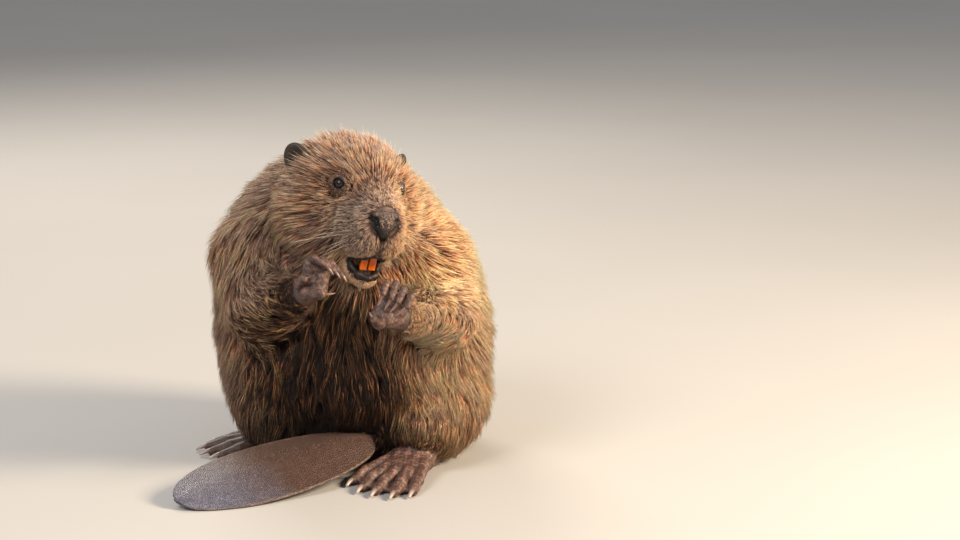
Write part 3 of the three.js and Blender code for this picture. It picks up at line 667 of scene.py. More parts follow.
def netted(field, low, high, cell):
    """A surface of triangles round a field: one vertex in each grid cell that it crosses, drawn onto it."""
    low, high = np.array(low, float), np.array(high, float)
    shape = np.ceil((high - low) / cell).astype(int) + 1
    values = sampled(field, low, shape, cell)
    fill_saddles(values)
    inside = values < 0
    count = sum(view.astype(np.int8) for view in corner_views(inside))
    cells = np.argwhere((count > 0) & (count < 8))
    number = np.full(shape, -1, np.int64)
    number[tuple(cells.T)] = np.arange(len(cells))
    corner = [np.array([c & 1, (c >> 1) & 1, c >> 2]) for c in range(8)]
    v = [values[tuple((cells + c).T)] for c in corner]
    total, crossings = np.zeros((len(cells), 3)), np.zeros(len(cells))
    for a in range(8):
        for bit in (1, 2, 4):
            if a & bit:
                continue
            b = a | bit
            crossed = (v[a] < 0) != (v[b] < 0)
            t = np.where(crossed, v[a] / np.where(crossed, v[a] - v[b], 1), 0)
            total += crossed[:, None] * (corner[a] + t[:, None] * (corner[b] - corner[a]))
            crossings += crossed
    points = low + cell * (cells + total / crossings[:, None])
    quads = []
    for d in range(3):
        u, w = STEPS[(d + 1) % 3], STEPS[(d + 2) % 3]
        here = inside[1:-1, 1:-1, 1:-1]
        there = inside[tuple(slice(2, None) if ax == d else slice(1, -1) for ax in range(3))]
        edges = np.argwhere(here != there) + 1
        ring = np.stack([number[tuple((edges - a * u - b * w).T)] for a, b in SQUARE], 1)
        out = inside[tuple(edges.T)]
        ring[~out] = ring[~out][:, ::-1]
        quads.append(ring)
    quads = np.concatenate(quads)
    return points, np.concatenate([quads[:, [0, 1, 2]], quads[:, [0, 2, 3]]])


def refined(points, faces, mask):
    """Splits each edge whose ends are both in a mask, so that the net is finer there."""
    corners = np.stack([faces, np.roll(faces, -1, 1)], -1)
    corners.sort(-1)
    split = mask[corners].all(-1)
    code = corners[..., 0] * len(points) + corners[..., 1]
    wanted, number = np.unique(code[split], return_inverse=True)
    middle = np.full(faces.shape, -1, np.int64)
    middle[split] = number + len(points)
    added = (points[wanted // len(points)] + points[wanted % len(points)]) / 2
    count = split.sum(1)
    a, b, c = faces[count == 3].T
    ab, bc, ca = middle[count == 3].T
    parts = [faces[count == 0]]
    parts += [np.stack(t, 1) for t in ((a, ab, ca), (ab, b, bc), (ca, bc, c), (ab, bc, ca))]
    for i in range(3):
        one = (count == 1) & split[:, i]
        a, b, c = (faces[one][:, (i + n) % 3] for n in range(3))
        ab = middle[one][:, i]
        parts += [np.stack([a, ab, c], 1), np.stack([ab, b, c], 1)]
    return np.concatenate([points, added]), np.concatenate(parts)


def fill(rows, key, values, kind=np.float32):
    """Gives each of a mesh's rows its value."""
    rows.foreach_set(key, np.asarray(values, kind).ravel())


def placed(name, data):
    """A new object of some data, in the scene."""
    obj = bpy.data.objects.new(name, data)
    bpy.context.scene.collection.objects.link(obj)
    return obj


def make_mesh(name, points, faces, material=None, colours=None, extra=None, uv=None):
    """A mesh object from arrays, in the frame's metres."""
    mesh = bpy.data.meshes.new(name)
    faces = np.asarray(faces)
    mesh.vertices.add(len(points))
    mesh.loops.add(faces.size)
    mesh.polygons.add(len(faces))
    fill(mesh.vertices, "co", (points - SEAT) / 1000)
    fill(mesh.loops, "vertex_index", faces, np.int32)
    fill(mesh.polygons, "loop_start", np.arange(0, faces.size, 3), np.int32)
    fill(mesh.polygons, "use_smooth", np.ones(len(faces)), bool)
    mesh.update(calc_edges=True)
    if colours is not None:
        with_alpha = np.hstack([colours, np.ones((len(points), 1))])
        fill(mesh.color_attributes.new("tint", "FLOAT_COLOR", "POINT").data, "color", with_alpha)
    for key, value in (extra or {}).items():
        kind, field = ("FLOAT_VECTOR", "vector") if value.ndim > 1 else ("FLOAT", "value")
        fill(mesh.attributes.new(key, kind, "POINT").data, field, value)
    if uv is not None:
        fill(mesh.uv_layers.new(name="OFBake").data, "uv", uv[faces.ravel()])
    if material is not None:
        mesh.materials.append(material)
    obj = placed(name, mesh)
    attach(obj, "root")
    return obj


# ---- Colours ----
def rgb(r, g, b):
    """A colour told in 0 to 255 display values, as linear light."""
    v = np.array([r, g, b]) / 255
    return np.where(v <= 0.04045, v / 12.92, ((v + 0.055) / 1.055) ** 2.4)


UNDERCOAT = rgb(40, 27, 20)
FUR_DARK, FUR_MID, FUR_TIP = rgb(38, 25, 19), rgb(116, 83, 67), rgb(200, 157, 134)
GINGER_MID, GINGER_TIP = rgb(140, 96, 66), rgb(219, 163, 121)
FRINGE_MID, FRINGE_TIP = rgb(176, 138, 104), rgb(232, 198, 156)
FACE_DARK, FACE_MID, FACE_TIP = rgb(54, 41, 36), rgb(118, 95, 83), rgb(178, 151, 134)
BARE_SKIN, EAR_SKIN = rgb(74, 56, 50), rgb(46, 35, 31)
FACE_UNDERCOAT = rgb(86, 66, 56)
NOSE_TOP, NOSE_SKIN = rgb(82, 67, 62), rgb(54, 41, 36)
# The second of these is painted shade for under the nose and round the nostrils.
NOSE_PALE, NOSE_LOW = rgb(132, 108, 94), rgb(28, 20, 18)
FOOT_SKIN, FOOT_PALE = rgb(67, 49, 43), rgb(156, 118, 104)
# How pale the mottling of bare paw and foot skin is; the right hind foot's is low as painted shade.
PALENESS = {"paw": {"left": 0.75, "right": 0.75}, "foot": {"left": 1.0, "right": 0.2}}
# The tail tip's slate blue, the second of these, is partly a painted sky reflection.
TAIL_ROOT_SKIN, TAIL_TIP_SKIN_AND_SHEEN, TAIL_RIM = rgb(76, 57, 48), rgb(91, 91, 104), rgb(122, 104, 92)
# The first of these is near-black painted shade for inside the mouth and the nostrils.
HOLLOW_SHADE, LIP_SKIN, LID_SKIN = rgb(18, 10, 9), rgb(29, 20, 17), rgb(18, 13, 12)
HORN = {
    "paw": (rgb(84, 62, 55), rgb(142, 112, 99)),
    "foot": (rgb(104, 84, 76), rgb(168, 150, 140)),
}
ENAMEL_TOP, ENAMEL_TIP = rgb(202, 77, 4), rgb(226, 108, 14)


def mixed(a, b, t):
    return a + (b - a) * np.asarray(t)[:, None]


def forward_of_nape(points):
    """How far a point belongs to the head, from 0 to 1, for the coat's colour and lie."""
    q = head.into(points)
    return smooth(q @ unit(np.array([162, 0, 86])) + 22, -42, 14) * smooth(q[:, 2], -128, -84)


def face_share(points):
    """How far a point belongs to the face: the muzzle and what lies round it."""
    x, _, z = head.into(points).T
    return forward_of_nape(points) * smooth(x - 0.5 * np.maximum(z, 0), 30, 78)


def bare_share(points):
    """How far a place on the skin is without coat, from 0 to 1."""
    q = head.into(points)
    lip_size = np.array(MOUTH[1]) * (1.0, 0.9, 0.95)
    shares = [
        smooth(hide(points), 0.5, 1.6),
        within(apart(q, *NOSE_PAD), 0.95, 1.04),
        within(apart(q, MOUTH[0], lip_size), 0.96, 1.04),
        within(lip_form(points), 0.4, 1.2),
        within(philtrum(points), 0.5, 1.5),
        within(from_eyes(points), EYE["r"] + 0.8, EYE["r"] + 1.6),
    ]
    return np.max(shares, axis=0)


def nose_colour(points):
    """Dark at its sides, brown on top, with pale specks in front, and darker below as painted shade."""
    x, _, z = head.into(points).T
    specks = smooth(0.7 * ripple(points, 3.6, 3) + 0.8 * ripple(points, 2.0, 4), 0.0, 0.8)
    specks *= smooth(x, 100, 106) * smooth(z, -13, -7) * (1 - 0.8 * smooth(z, 3, 9))
    pad = mixed(NOSE_SKIN, NOSE_TOP, smooth(z + 0.35 * (104 - x), 0, 8))
    return mixed(mixed(pad, NOSE_PALE, specks), NOSE_LOW, smooth(-z, 5, 13))


def tail_colour(points):
    """Brown at the root, slate blue at the tip, where the blue is partly a painted sky reflection, with a
    brown rim.
    """
    x, y, _ = tail_axes.into(points).T
    length, width = TAIL["size"]
    across = np.abs(y) / (width * paddle(np.clip(x / length, -0.99, 0.99)))
    colour = mixed(TAIL_ROOT_SKIN, TAIL_TIP_SKIN_AND_SHEEN, smooth(x + 0.35 * y + 14 * ripple(points, 60, 5), -10, 115))
    return mixed(colour, TAIL_RIM, 0.6 * smooth(across, 0.93, 0.985))


def skin_looks(points):
    """The skin's colour, how far it is leather, scales and nose, and each point's place on the tail."""
    q = head.into(points)
    bare = bare_share(points)
    fine = ripple(points, 9, 1) * 0.5 + ripple(points, 3.5, 2) * 0.5
    nose = within(nose_form(points), 0.8, 2.2) * smooth(q[:, 0], 88, 94)
    scales = within(blade_form(points), 0.6, 3.5)
    colour = mixed(mixed(UNDERCOAT, FACE_UNDERCOAT, face_share(points)), BARE_SKIN, bare)
    colour = mixed(colour, nose_colour(points), nose)
    # Near-black painted shade inside the mouth.
    colour = mixed(colour, HOLLOW_SHADE, within(apart(q, *MOUTH), 1.12, 1.3))
    # A darker line in the philtrum: its dark skin, with painted shade in the groove.
    colour = mixed(colour, LIP_SKIN, within(philtrum(points), 0.5, 2.0))
    # Painted shade round each nostril, and near-black painted shade inside it.
    for name in SIDES:
        hole = nostril_form[name](points)
        colour = mixed(colour, NOSE_LOW, 0.7 * within(hole, 1, 4))
        colour = mixed(colour, HOLLOW_SHADE, within(hole, 0.3, 1.2))
    colour = mixed(colour, LIP_SKIN, within(lip_form(points), 0.6, 2.0))
    colour = mixed(colour, tail_colour(points), scales)
    for name in SIDES:
        colour = mixed(colour, EAR_SKIN, within(ear_form[name](points), 0.5, 2.5) * bare)
        for part, form in (("paw", paw_form[name]), ("foot", foot_form[name])):
            limb_skin = mixed(FOOT_SKIN, FOOT_PALE, smooth(fine, -0.5, 1.0) * 0.5 * PALENESS[part][name])
            colour = mixed(colour, limb_skin, within(form(points), 0.5, 2.5) * bare)
    colour = mixed(colour, LID_SKIN, within(from_eyes(points), EYE["r"] + 1.2, EYE["r"] + 3.0))
    return colour * (1 + 0.16 * fine)[:, None], {
        "bare": bare * (1 - scales) * (1 - nose),
        "scales": scales,
        "nose": nose,
        "tail_place": tail_axes.into(points) * (1, 1, 0) / (*TAIL_SCALE, 1),
    }


# ---- Materials ----
class Nodes:
    """A material's node tree, with short ways to add and join nodes."""

    def __init__(self, name, roughness, specular, coat=0.0, sheen=0.0):
        self.material = bpy.data.materials.new(name)
        self.material.use_nodes = True
        self.tree = self.material.node_tree
        self.shader = self.tree.nodes["Principled BSDF"]
        self.shade(Roughness=roughness, Specular_IOR_Level=specular, Sheen_Weight=sheen)
        self.shade(Coat_Weight=coat, Coat_Roughness=0.06)

    def add(self, kind, **values):
        node = self.tree.nodes.new("ShaderNode" + kind)
        for key, value in values.items():
            if key in node.inputs:
                self.give(node.inputs[key], value)
            else:
                setattr(node, key, value)
        return node

    def give(self, socket, value):
        if isinstance(value, bpy.types.NodeSocket):
            self.tree.links.new(value, socket)
        else:
            socket.default_value = value

    def attribute(self, name, output="Fac"):
        return self.add("Attribute", attribute_name=name).outputs[output]

    def math(self, operation, a, b):
        node = self.add("Math", operation=operation)
        self.give(node.inputs[0], a)
        self.give(node.inputs[1], b)
        return node.outputs[0]

    def mix(self, a, b, factor, blend="MIX"):
        node = self.add("Mix", data_type="RGBA", blend_type=blend)
        self.give(node.inputs[0], factor)
        self.give(node.inputs[6], a)
        self.give(node.inputs[7], b)
        return node.outputs[2]

    def noise(self, scale, detail=3.0):
        return self.add("TexNoise", Scale=scale, Detail=detail, Vector=self.place()).outputs["Fac"]

    def place(self):
        return self.add("TexCoord").outputs["Object"]

    def ranged(self, value, low, high, to_low=0.0, to_high=1.0):
        """A value that runs from low to high, stretched to run between two others."""
        node = self.add("MapRange", Value=value)
        for key, limit in (("From Min", low), ("From Max", high), ("To Min", to_low), ("To Max", to_high)):
            node.inputs[key].default_value = limit
        return node.outputs["Result"]

    def bump(self, height, strength, distance, under=None):
        node = self.add("Bump", Height=height, Strength=strength, Distance=distance)
        if under is not None:
            self.give(node.inputs["Normal"], under)
        return node.outputs["Normal"]

    def varied(self, colour, scale, low, high):
        """A colour whose strength wanders between low and high."""
        strength = self.ranged(self.noise(scale), 0.3, 0.7, low, high)
        grey = self.add("CombineColor", Red=strength, Green=strength, Blue=strength)
        return self.mix(colour, grey.outputs[0], 1.0, "MULTIPLY")

    def shade(self, **values):
        for key, value in values.items():
            self.give(self.shader.inputs[key.replace("_", " ")], value)
        return self.material


def tinted(name, roughness, specular, wander, grain=None, **more):
    """A material in its points' own colours, which wander by a noise: its scale, low and high. The grain
    is a noise's scale, strength and depth."""
    n = Nodes(name, roughness, specular, **more)
    looks = {"Base_Color": n.varied(n.attribute("tint", "Color"), *wander)}
    if grain:
        looks["Normal"] = n.bump(n.noise(grain[0]), *grain[1:])
    return n.shade(**looks)


def skin_material():
    """Creased leather, a pebbled and freckled nose, and a tail of flat scales."""
    n = Nodes("hide", 0.55, 0.38)
    bare, scales, nose = n.attribute("bare"), n.attribute("scales"), n.attribute("nose")
    colour = n.varied(n.attribute("tint", "Color"), 420, 0.78, 1.22)
    on_tail = {"Vector": n.attribute("tail_place", "Vector"), "voronoi_dimensions": "2D", "Randomness": 0.9}
    scale_of = n.add("TexVoronoi", feature="F1", Scale=1.0, **on_tail)
    edges = n.add("TexVoronoi", feature="DISTANCE_TO_EDGE", Scale=1.0, **on_tail)
    raised = n.ranged(edges.outputs["Distance"], 0, 0.2)
    # The grooves between the tail's scales are darkened as painted shade.
    shaded = n.mix(colour, (0.46, 0.43, 0.43, 1), n.math("SUBTRACT", 1.0, raised), "MULTIPLY")
    per_scale = n.add("SeparateColor", Color=scale_of.outputs["Color"])
    toned = n.mix(shaded, (1.45, 1.42, 1.45, 1), per_scale.outputs[0], "MULTIPLY")
    colour = n.mix(colour, toned, scales)
    creases = n.add("TexVoronoi", feature="DISTANCE_TO_EDGE", Scale=800.0, Vector=n.place())
    pebbles = n.add("TexVoronoi", feature="F1", Scale=620.0, Vector=n.place())
    freckle = n.math("MULTIPLY", n.ranged(n.noise(330), 0.42, 0.6), nose)
    colour = n.mix(colour, n.mix(colour, (0.42, 0.4, 0.4, 1), freckle, "MULTIPLY"), 0.8)
    wrinkle = n.math("MULTIPLY", n.math("MINIMUM", creases.outputs["Distance"], 0.22), bare)
    pebble = n.math("MULTIPLY", n.math("SUBTRACT", 1.0, pebbles.outputs["Distance"]), nose)
    normal = n.bump(n.noise(650, 4.0), 0.3, 0.0016)
    normal = n.bump(wrinkle, 0.4, 0.0009, normal)
    normal = n.bump(pebble, 0.8, 0.001, normal)
    normal = n.bump(n.math("MULTIPLY", raised, scales), 0.85, 0.0012, normal)
    rough = n.math("SUBTRACT", 0.46, n.math("MULTIPLY", n.math("MAXIMUM", scales, nose), 0.08))
    return n.shade(Base_Color=colour, Normal=normal, Roughness=rough)


def eye_material():
    n = Nodes("eye_wet", 0.04, 0.3, coat=0.12)
    return n.shade(Base_Color=n.mix((0.004, 0.003, 0.004, 1), (0.02, 0.011, 0.008, 1), n.noise(800)))


def whisker_material():
    n = Nodes("whisker_hair", 0.4, 0.5)
    return n.shade(Base_Color=n.varied((0.5, 0.39, 0.29, 1), 60, 0.2, 1.3))


# ---- Skin ----
FLESH = ["head", "neck", "trunk", "tail_root", "tail_blade", "lower_jaw", "nose"]
PAIRS = ("ear", "foreleg", "forepaw", "thigh", "hind_foot")
FLESH += [f"{part}_{name}" for part in PAIRS for name in SIDES]
SKIN_LOW, SKIN_HIGH = (-214, -254, -6), (178, 186, 416)
SKIN_CELL = 1.8
# The share of the skin's points that goes where the coat covers them.
COVERED_CUT = 0.62


def is_bare(points):
    """Whether a point is on bare skin other than the tail's blade."""
    return (bare_share(points) > 0.3) & (np.abs(blade_form(points)) >= 0.5)


def is_detail(points):
    """Whether a point is on an eyelid, the nose or a lip."""
    on_nose = (nose_form(points) < 2) & (head.into(points)[:, 0] > 90)
    return on_nose | (lip_form(points) < 1) | (from_eyes(points) < 11)


def thin_out(obj, covered):
    """Joins small facets of the skin where the coat covers it."""
    obj.vertex_groups.new(name="covered").add(covered.tolist(), 1.0, "REPLACE")
    thinner = obj.modifiers.new("thin", "DECIMATE")
    thinner.ratio = 1 - COVERED_CUT * len(covered) / len(obj.data.vertices)
    thinner.vertex_group = "covered"
    made = obj.evaluated_get(bpy.context.evaluated_depsgraph_get()).data.copy()
    obj.modifiers.clear()
    obj.data = made


def build_skin():
    """The skin of the whole animal. Returns its points and faces from before they are thinned out."""
    points, faces = netted(skin, SKIN_LOW, SKIN_HIGH, SKIN_CELL)
    for most, finer_where in ((1.0, is_bare), (0.6, is_detail), (0.4, None)):
        points = in_parts(lambda p: settle(skin, p, most), points)
        if finer_where:
            points, faces = refined(points, faces, in_parts(finer_where, points))
    points[:, 2] = np.maximum(points[:, 2], 0)
    colour, extra = skin_looks(points)
    obj = make_mesh("beaver_skin", points, faces, colours=colour, extra=extra)
    thin_out(obj, np.nonzero((bare_share(points) < 0.02) & (hide(points) < 0.4))[0])
    obj.data.materials.append(skin_material())
    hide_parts(*FLESH)
    return points, faces


# ---- Coat ----
# A tuft's spacing and width are a length, and so much more for each mm of the coat's depth. A clump is so
# many spacings wide. Bold tufts stand out: a share of all, and more of them in a share of the clumps.
COAT = {"spacing": (0.68, 0.053), "width": (0.19, 0.023), "clump": 5.6}
BOLD = {"share": 0.16, "clumps": 0.3, "in_clump": 0.4, "rise": (0.3, 1.5), "longer": 1.12}
# How far a tuft's middle and tip are drawn to those of its clump's own tuft, and where its middle is.
PULL = {"middle": 0.35, "tip": 1.35}
MIDDLE = {"along": 0.48, "height": 0.62}
ROOT_DEPTH = 0.8
# Within this distance of an ear hairs are left out, but for this share.
EAR_CLEAR = {"left": (1.5, 0.75), "right": (9.0, 0.15)}
# Painted shade darkens the fur between the right eye and the nose, and painted light lightens it left of
# the chin: where, and how far.
EYE_SHADE = ((66, -22, 16), (26, 27, 18))
CHIN_PAINTED_LIGHT = ((58, 26, -80), (32, 26, 32))
# How much lighter the fur is at each place, or darker where it is below 0: painted shade low on the body,
# below the nose and by the right eye, painted light on the left foreleg, the sunlit left side and left of
# the chin, and plainly darker fur round the eyes.
TONE = {
    "underside": -0.32,
    "left_arm_painted_light": 0.34,
    "sunlit_side": 0.56,
    "below_nose": -0.7,
    "eye_shade": -0.45,
    "chin_painted_light": 0.75,
    "eye_rim": -0.12,
}


def limb_pull(points, limb, strength, reach=9, drop=0, share=1.0):
    """The way along a limb, turned down by a drop, and weighted by how near it is."""
    start, end, _, _ = limb
    weight = strength * np.exp(-np.maximum(bone(*limb)(points), 0) / reach) * share
    return unit(np.subtract(end, start) - (0, 0, drop)) * weight[:, None]


def lie(points):
    """The way the hair lies: back from the nose, down the body, along each limb."""
    q = head.into(points)
    from_nose = q - np.array((120, 0, 6))
    from_nose[:, 2] -= 10 + 14 * smooth(np.abs(q[:, 1]), 20, 60)
    way = unit(from_nose @ head.matrix.T)
    share = forward_of_nape(points)
    body = np.tile(np.array([0.0, 0.42, -1.0]), (len(points), 1))
    body[:, 0] = 0.0016 * (points[:, 0] + 8)
    total = way * (2.2 * share)[:, None] + unit(body) * (1 - 0.95 * share)[:, None]
    for name in SIDES:
        for limb, strength in zip(FORELEG[name], (1.0, 3.4)):
            total += limb_pull(points, limb, strength, drop=12, share=1 - share)
        total += limb_pull(points, SHIN[name], 2.0, drop=20)
    for (start, r0), (end, r1) in zip(TAIL_ROOT, TAIL_ROOT[1:]):
        total += limb_pull(points, (start, end, r0, r1), 1.6, reach=8)
    wander = np.stack([ripple(points, 70, 11 + i) for i in range(3)], 1)
    return unit(total) + wander * (0.24 - 0.13 * share)[:, None]


def along_skin(way, normal):
    """A way without its part along the normal."""
    return unit(way - (way * normal).sum(1, keepdims=True) * normal)


def thinned_out(points, spacing):
    """Picks points so that few are nearer than a spacing, which may differ from place to place."""
    level = np.round(np.log2(spacing) * 6).astype(int)
    cell = 2.0 ** (level / 6)
    key = np.floor(points / cell[:, None]).astype(np.int64) + 4000
    code = ((level + 40).astype(np.int64) << 42) + (key[:, 0] << 28) + (key[:, 1] << 14) + key[:, 2]
    _, first = np.unique(code, return_index=True)
    return np.sort(first)


def scattered(points, faces, spacing_of):
    """Random places on a surface, at a spacing that differs from place to place."""
    a, b, c = points[faces].transpose(1, 0, 2)
    area = np.linalg.norm(np.cross(b - a, c - a), axis=1) / 2
    spacing = spacing_of((a + b + c) / 3)
    count = rng.poisson(area / spacing**2 * 2.6)
    owner = np.repeat(np.arange(len(faces)), count)
    s, t = rng.random(len(owner)), rng.random(len(owner))
    over = s + t > 1
    s[over], t[over] = 1 - s[over], 1 - t[over]
    spots = a[owner] + s[:, None] * (b - a)[owner] + t[:, None] * (c - a)[owner]
    return spots[thinned_out(spots, spacing[owner])]


def nearest(points, centres):
    """The number of the centre that is nearest to each point."""
    tree = kdtree.KDTree(len(centres))
    for i, c in enumerate(centres):
        tree.insert(c, i)
    tree.balance()
    return np.array([tree.find(p)[1] for p in points])


def wetness_and_shade(points):
    """How dark the coat is, from 0 to 1: soaked fur with painted shade on the belly and low on the body,
    and soaked fur at the right wrist.
    """
    x, y, z = points.T
    middle = within(np.abs(x + 18), 30, 90)
    belly = smooth(-y, 20, 95) * within(z - 30 * middle, 190, 238)
    belly *= within(np.where(x > 0, 1.25, 1.0) * np.abs(x + 24), 70, 150)
    under = within(z, 30, 100) * (0.4 + 0.3 * smooth(-y, 30, 100))
    wrist = within(apart(points, WRIST["right"]), 30, 84)
    return np.clip(0.9 * belly + under + 0.6 * wrist, 0, 0.91)


def crown_share(points):
    """How far points are on the crown of the head."""
    x, _, z = head.into(points).T
    return smooth(z, 18, 50) * smooth(-x, -34, 8) * forward_of_nape(points)


def below_nose(points):
    """How far points are in the band between the nose and the upper lip."""
    x, y, z = head.into(points).T
    return within(np.abs(y - 1), 2, 9) * smooth(x, 76, 86) * smooth(-z, 12, 18) * within(-z, 54, 60)


def coat_colour(points, clump_tone, tuft_tone):
    """The colours at a tuft's root, middle and tip."""
    q = head.into(points)
    face = face_share(points)
    # Painted sunlight: the face's left side is lighter and keeps more orange.
    sunny = smooth(q[:, 1], 2, 16) * face
    # How orange the fur is: at random and on the head, with painted warm light on the body's left side and
    # the face's sunlit side.
    ginger_and_warm_light = ripple(points, 55, 21) * 0.4 + 0.35 * clump_tone + 0.2 * tuft_tone
    ginger_and_warm_light += 0.45 * forward_of_nape(points) + 0.7 * smooth(points[:, 0], 20, 120)
    ginger_and_warm_light = smooth(ginger_and_warm_light, -0.2, 1.6) * (1 - 0.7 * face * (1 - sunny))
    fringe = within(lip_form(points), 5, 20) * smooth(-q[:, 2], 40, 58)
    dark = mixed(FUR_DARK, FACE_DARK, face)
    mid = mixed(mixed(mixed(FUR_MID, FACE_MID, face), GINGER_MID, ginger_and_warm_light), FRINGE_MID, 0.8 * fringe)
    tip = mixed(mixed(mixed(FUR_TIP, FACE_TIP, face), GINGER_TIP, ginger_and_warm_light), FRINGE_TIP, 0.8 * fringe)
    wet_and_shade = wetness_and_shade(points) * (1 - fringe)
    # Soaked fur is darker, partly as painted shade, and its lightest tufts are lifted, partly as painted
    # glints on light dry tips.
    tone = 0.94 * np.exp((0.34 * clump_tone + 0.54 * tuft_tone) * (1 - 0.15 * face)) * (1 - wet_and_shade)
    tone *= (1 - 0.48 * wet_and_shade) * (1 + 5.5 * wet_and_shade * (tuft_tone > 1.25))
    tone *= (1 + 1.6 * fringe) * (1 + 0.25 * face + 0.35 * sunny)
    # Where each of the tone table's painted lights and shades falls, and the darker fur round the eyes.
    shares = {
        "underside": within(points[:, 2], 50, 140),
        "left_arm_painted_light": within(np.minimum(*[bone(*limb)(points) for limb in FORELEG["left"]]), 0, 14),
        "sunlit_side": smooth(points[:, 0], 5, 100),
        "below_nose": below_nose(points),
        "eye_shade": np.exp(-(apart(q, *EYE_SHADE) ** 2)),
        "chin_painted_light": np.exp(-(apart(q, *CHIN_PAINTED_LIGHT) ** 2)),
        "eye_rim": within(from_eyes(points), 9, 19),
    }
    for place, share in shares.items():
        tone *= 1 + TONE[place] * share
    tone = np.clip(tone, 0.06, 2.3)[:, None]
    stain = 1 - wet_and_shade[:, None] * np.array([0, 0.19, 0.48])
    stain *= 1 - crown_share(points)[:, None] * np.array([0.02, 0.06, 0.12])
    return [dark * np.minimum(tone, 1.2) * stain, mid * tone * stain, np.minimum(tip * tone, 0.8) * stain]


def region_of(points):
    """The piece of coat that a root belongs to."""
    x, y, z = points.T
    right, front, upper = x < -8, y < 16, z > 190
    label = np.full(len(points), "coat_back_left", dtype=object)
    for mask, name in (
        (right, "back_right"),
        (~right & upper, "shoulder_left"),
        (right & upper, "shoulder_right"),
        (front & ~right, "belly_left"),
        (front & right, "belly_right"),
        (front & upper, "chest"),
    ):
        label[mask] = f"coat_{name}"
    trunk = trunk_form(points) - 2
    for name in SIDES:
        arm = blended(4, *[bone(*limb) for limb in FORELEG[name]])
        label[(arm(points) < trunk) & front] = f"coat_foreleg_{name}"
        label[(thigh(name)(points) < trunk) & ~upper] = f"coat_thigh_{name}"
    x, y, z = head.into(points).T
    on_head_part = forward_of_nape(points) > 0.5
    for mask, name in ((y >= 0, "head_left"), (y < 0, "head_right"), (x > 34, "face"), (z < -34, "chin")):
        label[mask & on_head_part] = f"coat_{name}"
    return label


def bake_places(points, normals):
    """Where each root lies on an unwrap of the skin's own shape: six flat views laid side by side."""
    side = np.abs(normals).argmax(1)
    sign = normals[np.arange(len(points)), side] > 0
    low, high = points.min(0), points.max(0)
    q = (points - low) / (high - low).max()
    flat = np.stack([q[:, [1, 2]], q[:, [0, 2]], q[:, [0, 1]]], 1)[np.arange(len(points)), side]
    return (flat * 0.31 + 0.01) + np.stack([side / 3, sign * 0.5], 1)


TUFT_FACES = np.array([(0, 1, 2), (0, 2, 3), (0, 3, 1), (4, 2, 1), (4, 3, 2), (4, 1, 3)])
PATCH = 0.003
PATCH_PLACES = np.array([(0.5, 0), (0, 0.5), (0.5, 0.5), (1, 0.5), (0.5, 1)]) * PATCH


def build_tufts(name, material, path, normals, widths, colours, places):
    """One closed lock for each path of three points: a root, a ring of three corners and a tip."""
    count = len(path[0])
    along = unit(path[2] - path[0])
    across = unit(np.cross(along, normals))
    spin = rng.uniform(-0.7, 0.7, count)[:, None]
    up = unit(np.cross(across, along))
    across, up = across * np.cos(spin) + up * np.sin(spin), up * np.cos(spin) - across * np.sin(spin)
    corners = [path[0]]
    for angle in (90, 210, 330):
        a = math.radians(angle)
        corners.append(path[1] + widths[:, None] * (across * math.cos(a) + 0.5 * up * math.sin(a)))
    corners.append(path[2])
    points = np.stack(corners, 1).reshape(-1, 3)
    points[:, 2] = np.maximum(points[:, 2], 0.3)
    faces = (TUFT_FACES[None] + 5 * np.arange(count)[:, None, None]).reshape(-1, 3)
    tint = np.stack([colours[0]] + [colours[1]] * 3 + [colours[2]], 1).reshape(-1, 3)
    uv = (places[:, None] + PATCH_PLACES[None]).reshape(-1, 2)
    make_mesh(name, points, faces, material, tint, uv=uv)


def tuft_length(depth):
    return 2.2 + depth * (1.0 + 1.6 * smooth(depth, 2.5, 11))


def stand_out(points):
    """How far the boldest hairs stand up out of the coat: most on the crown, some on neck and shoulders."""
    x, _, z = points.T
    return 0.3 + 0.25 * smooth(z, 180, 300) + 0.2 * smooth(x, 70, 120) + 0.6 * crown_share(points)


def clear_of_eyes(points):
    """Whether points leave the front of both eyeballs free."""
    clear = np.ones(len(points), bool)
    for name in SIDES:
        q = eye_axes(name).into(points)
        clear &= (np.hypot(q[:, 1], q[:, 2]) > EYE["r"] - 0.2) | (q[:, 0] < 0)
    return clear


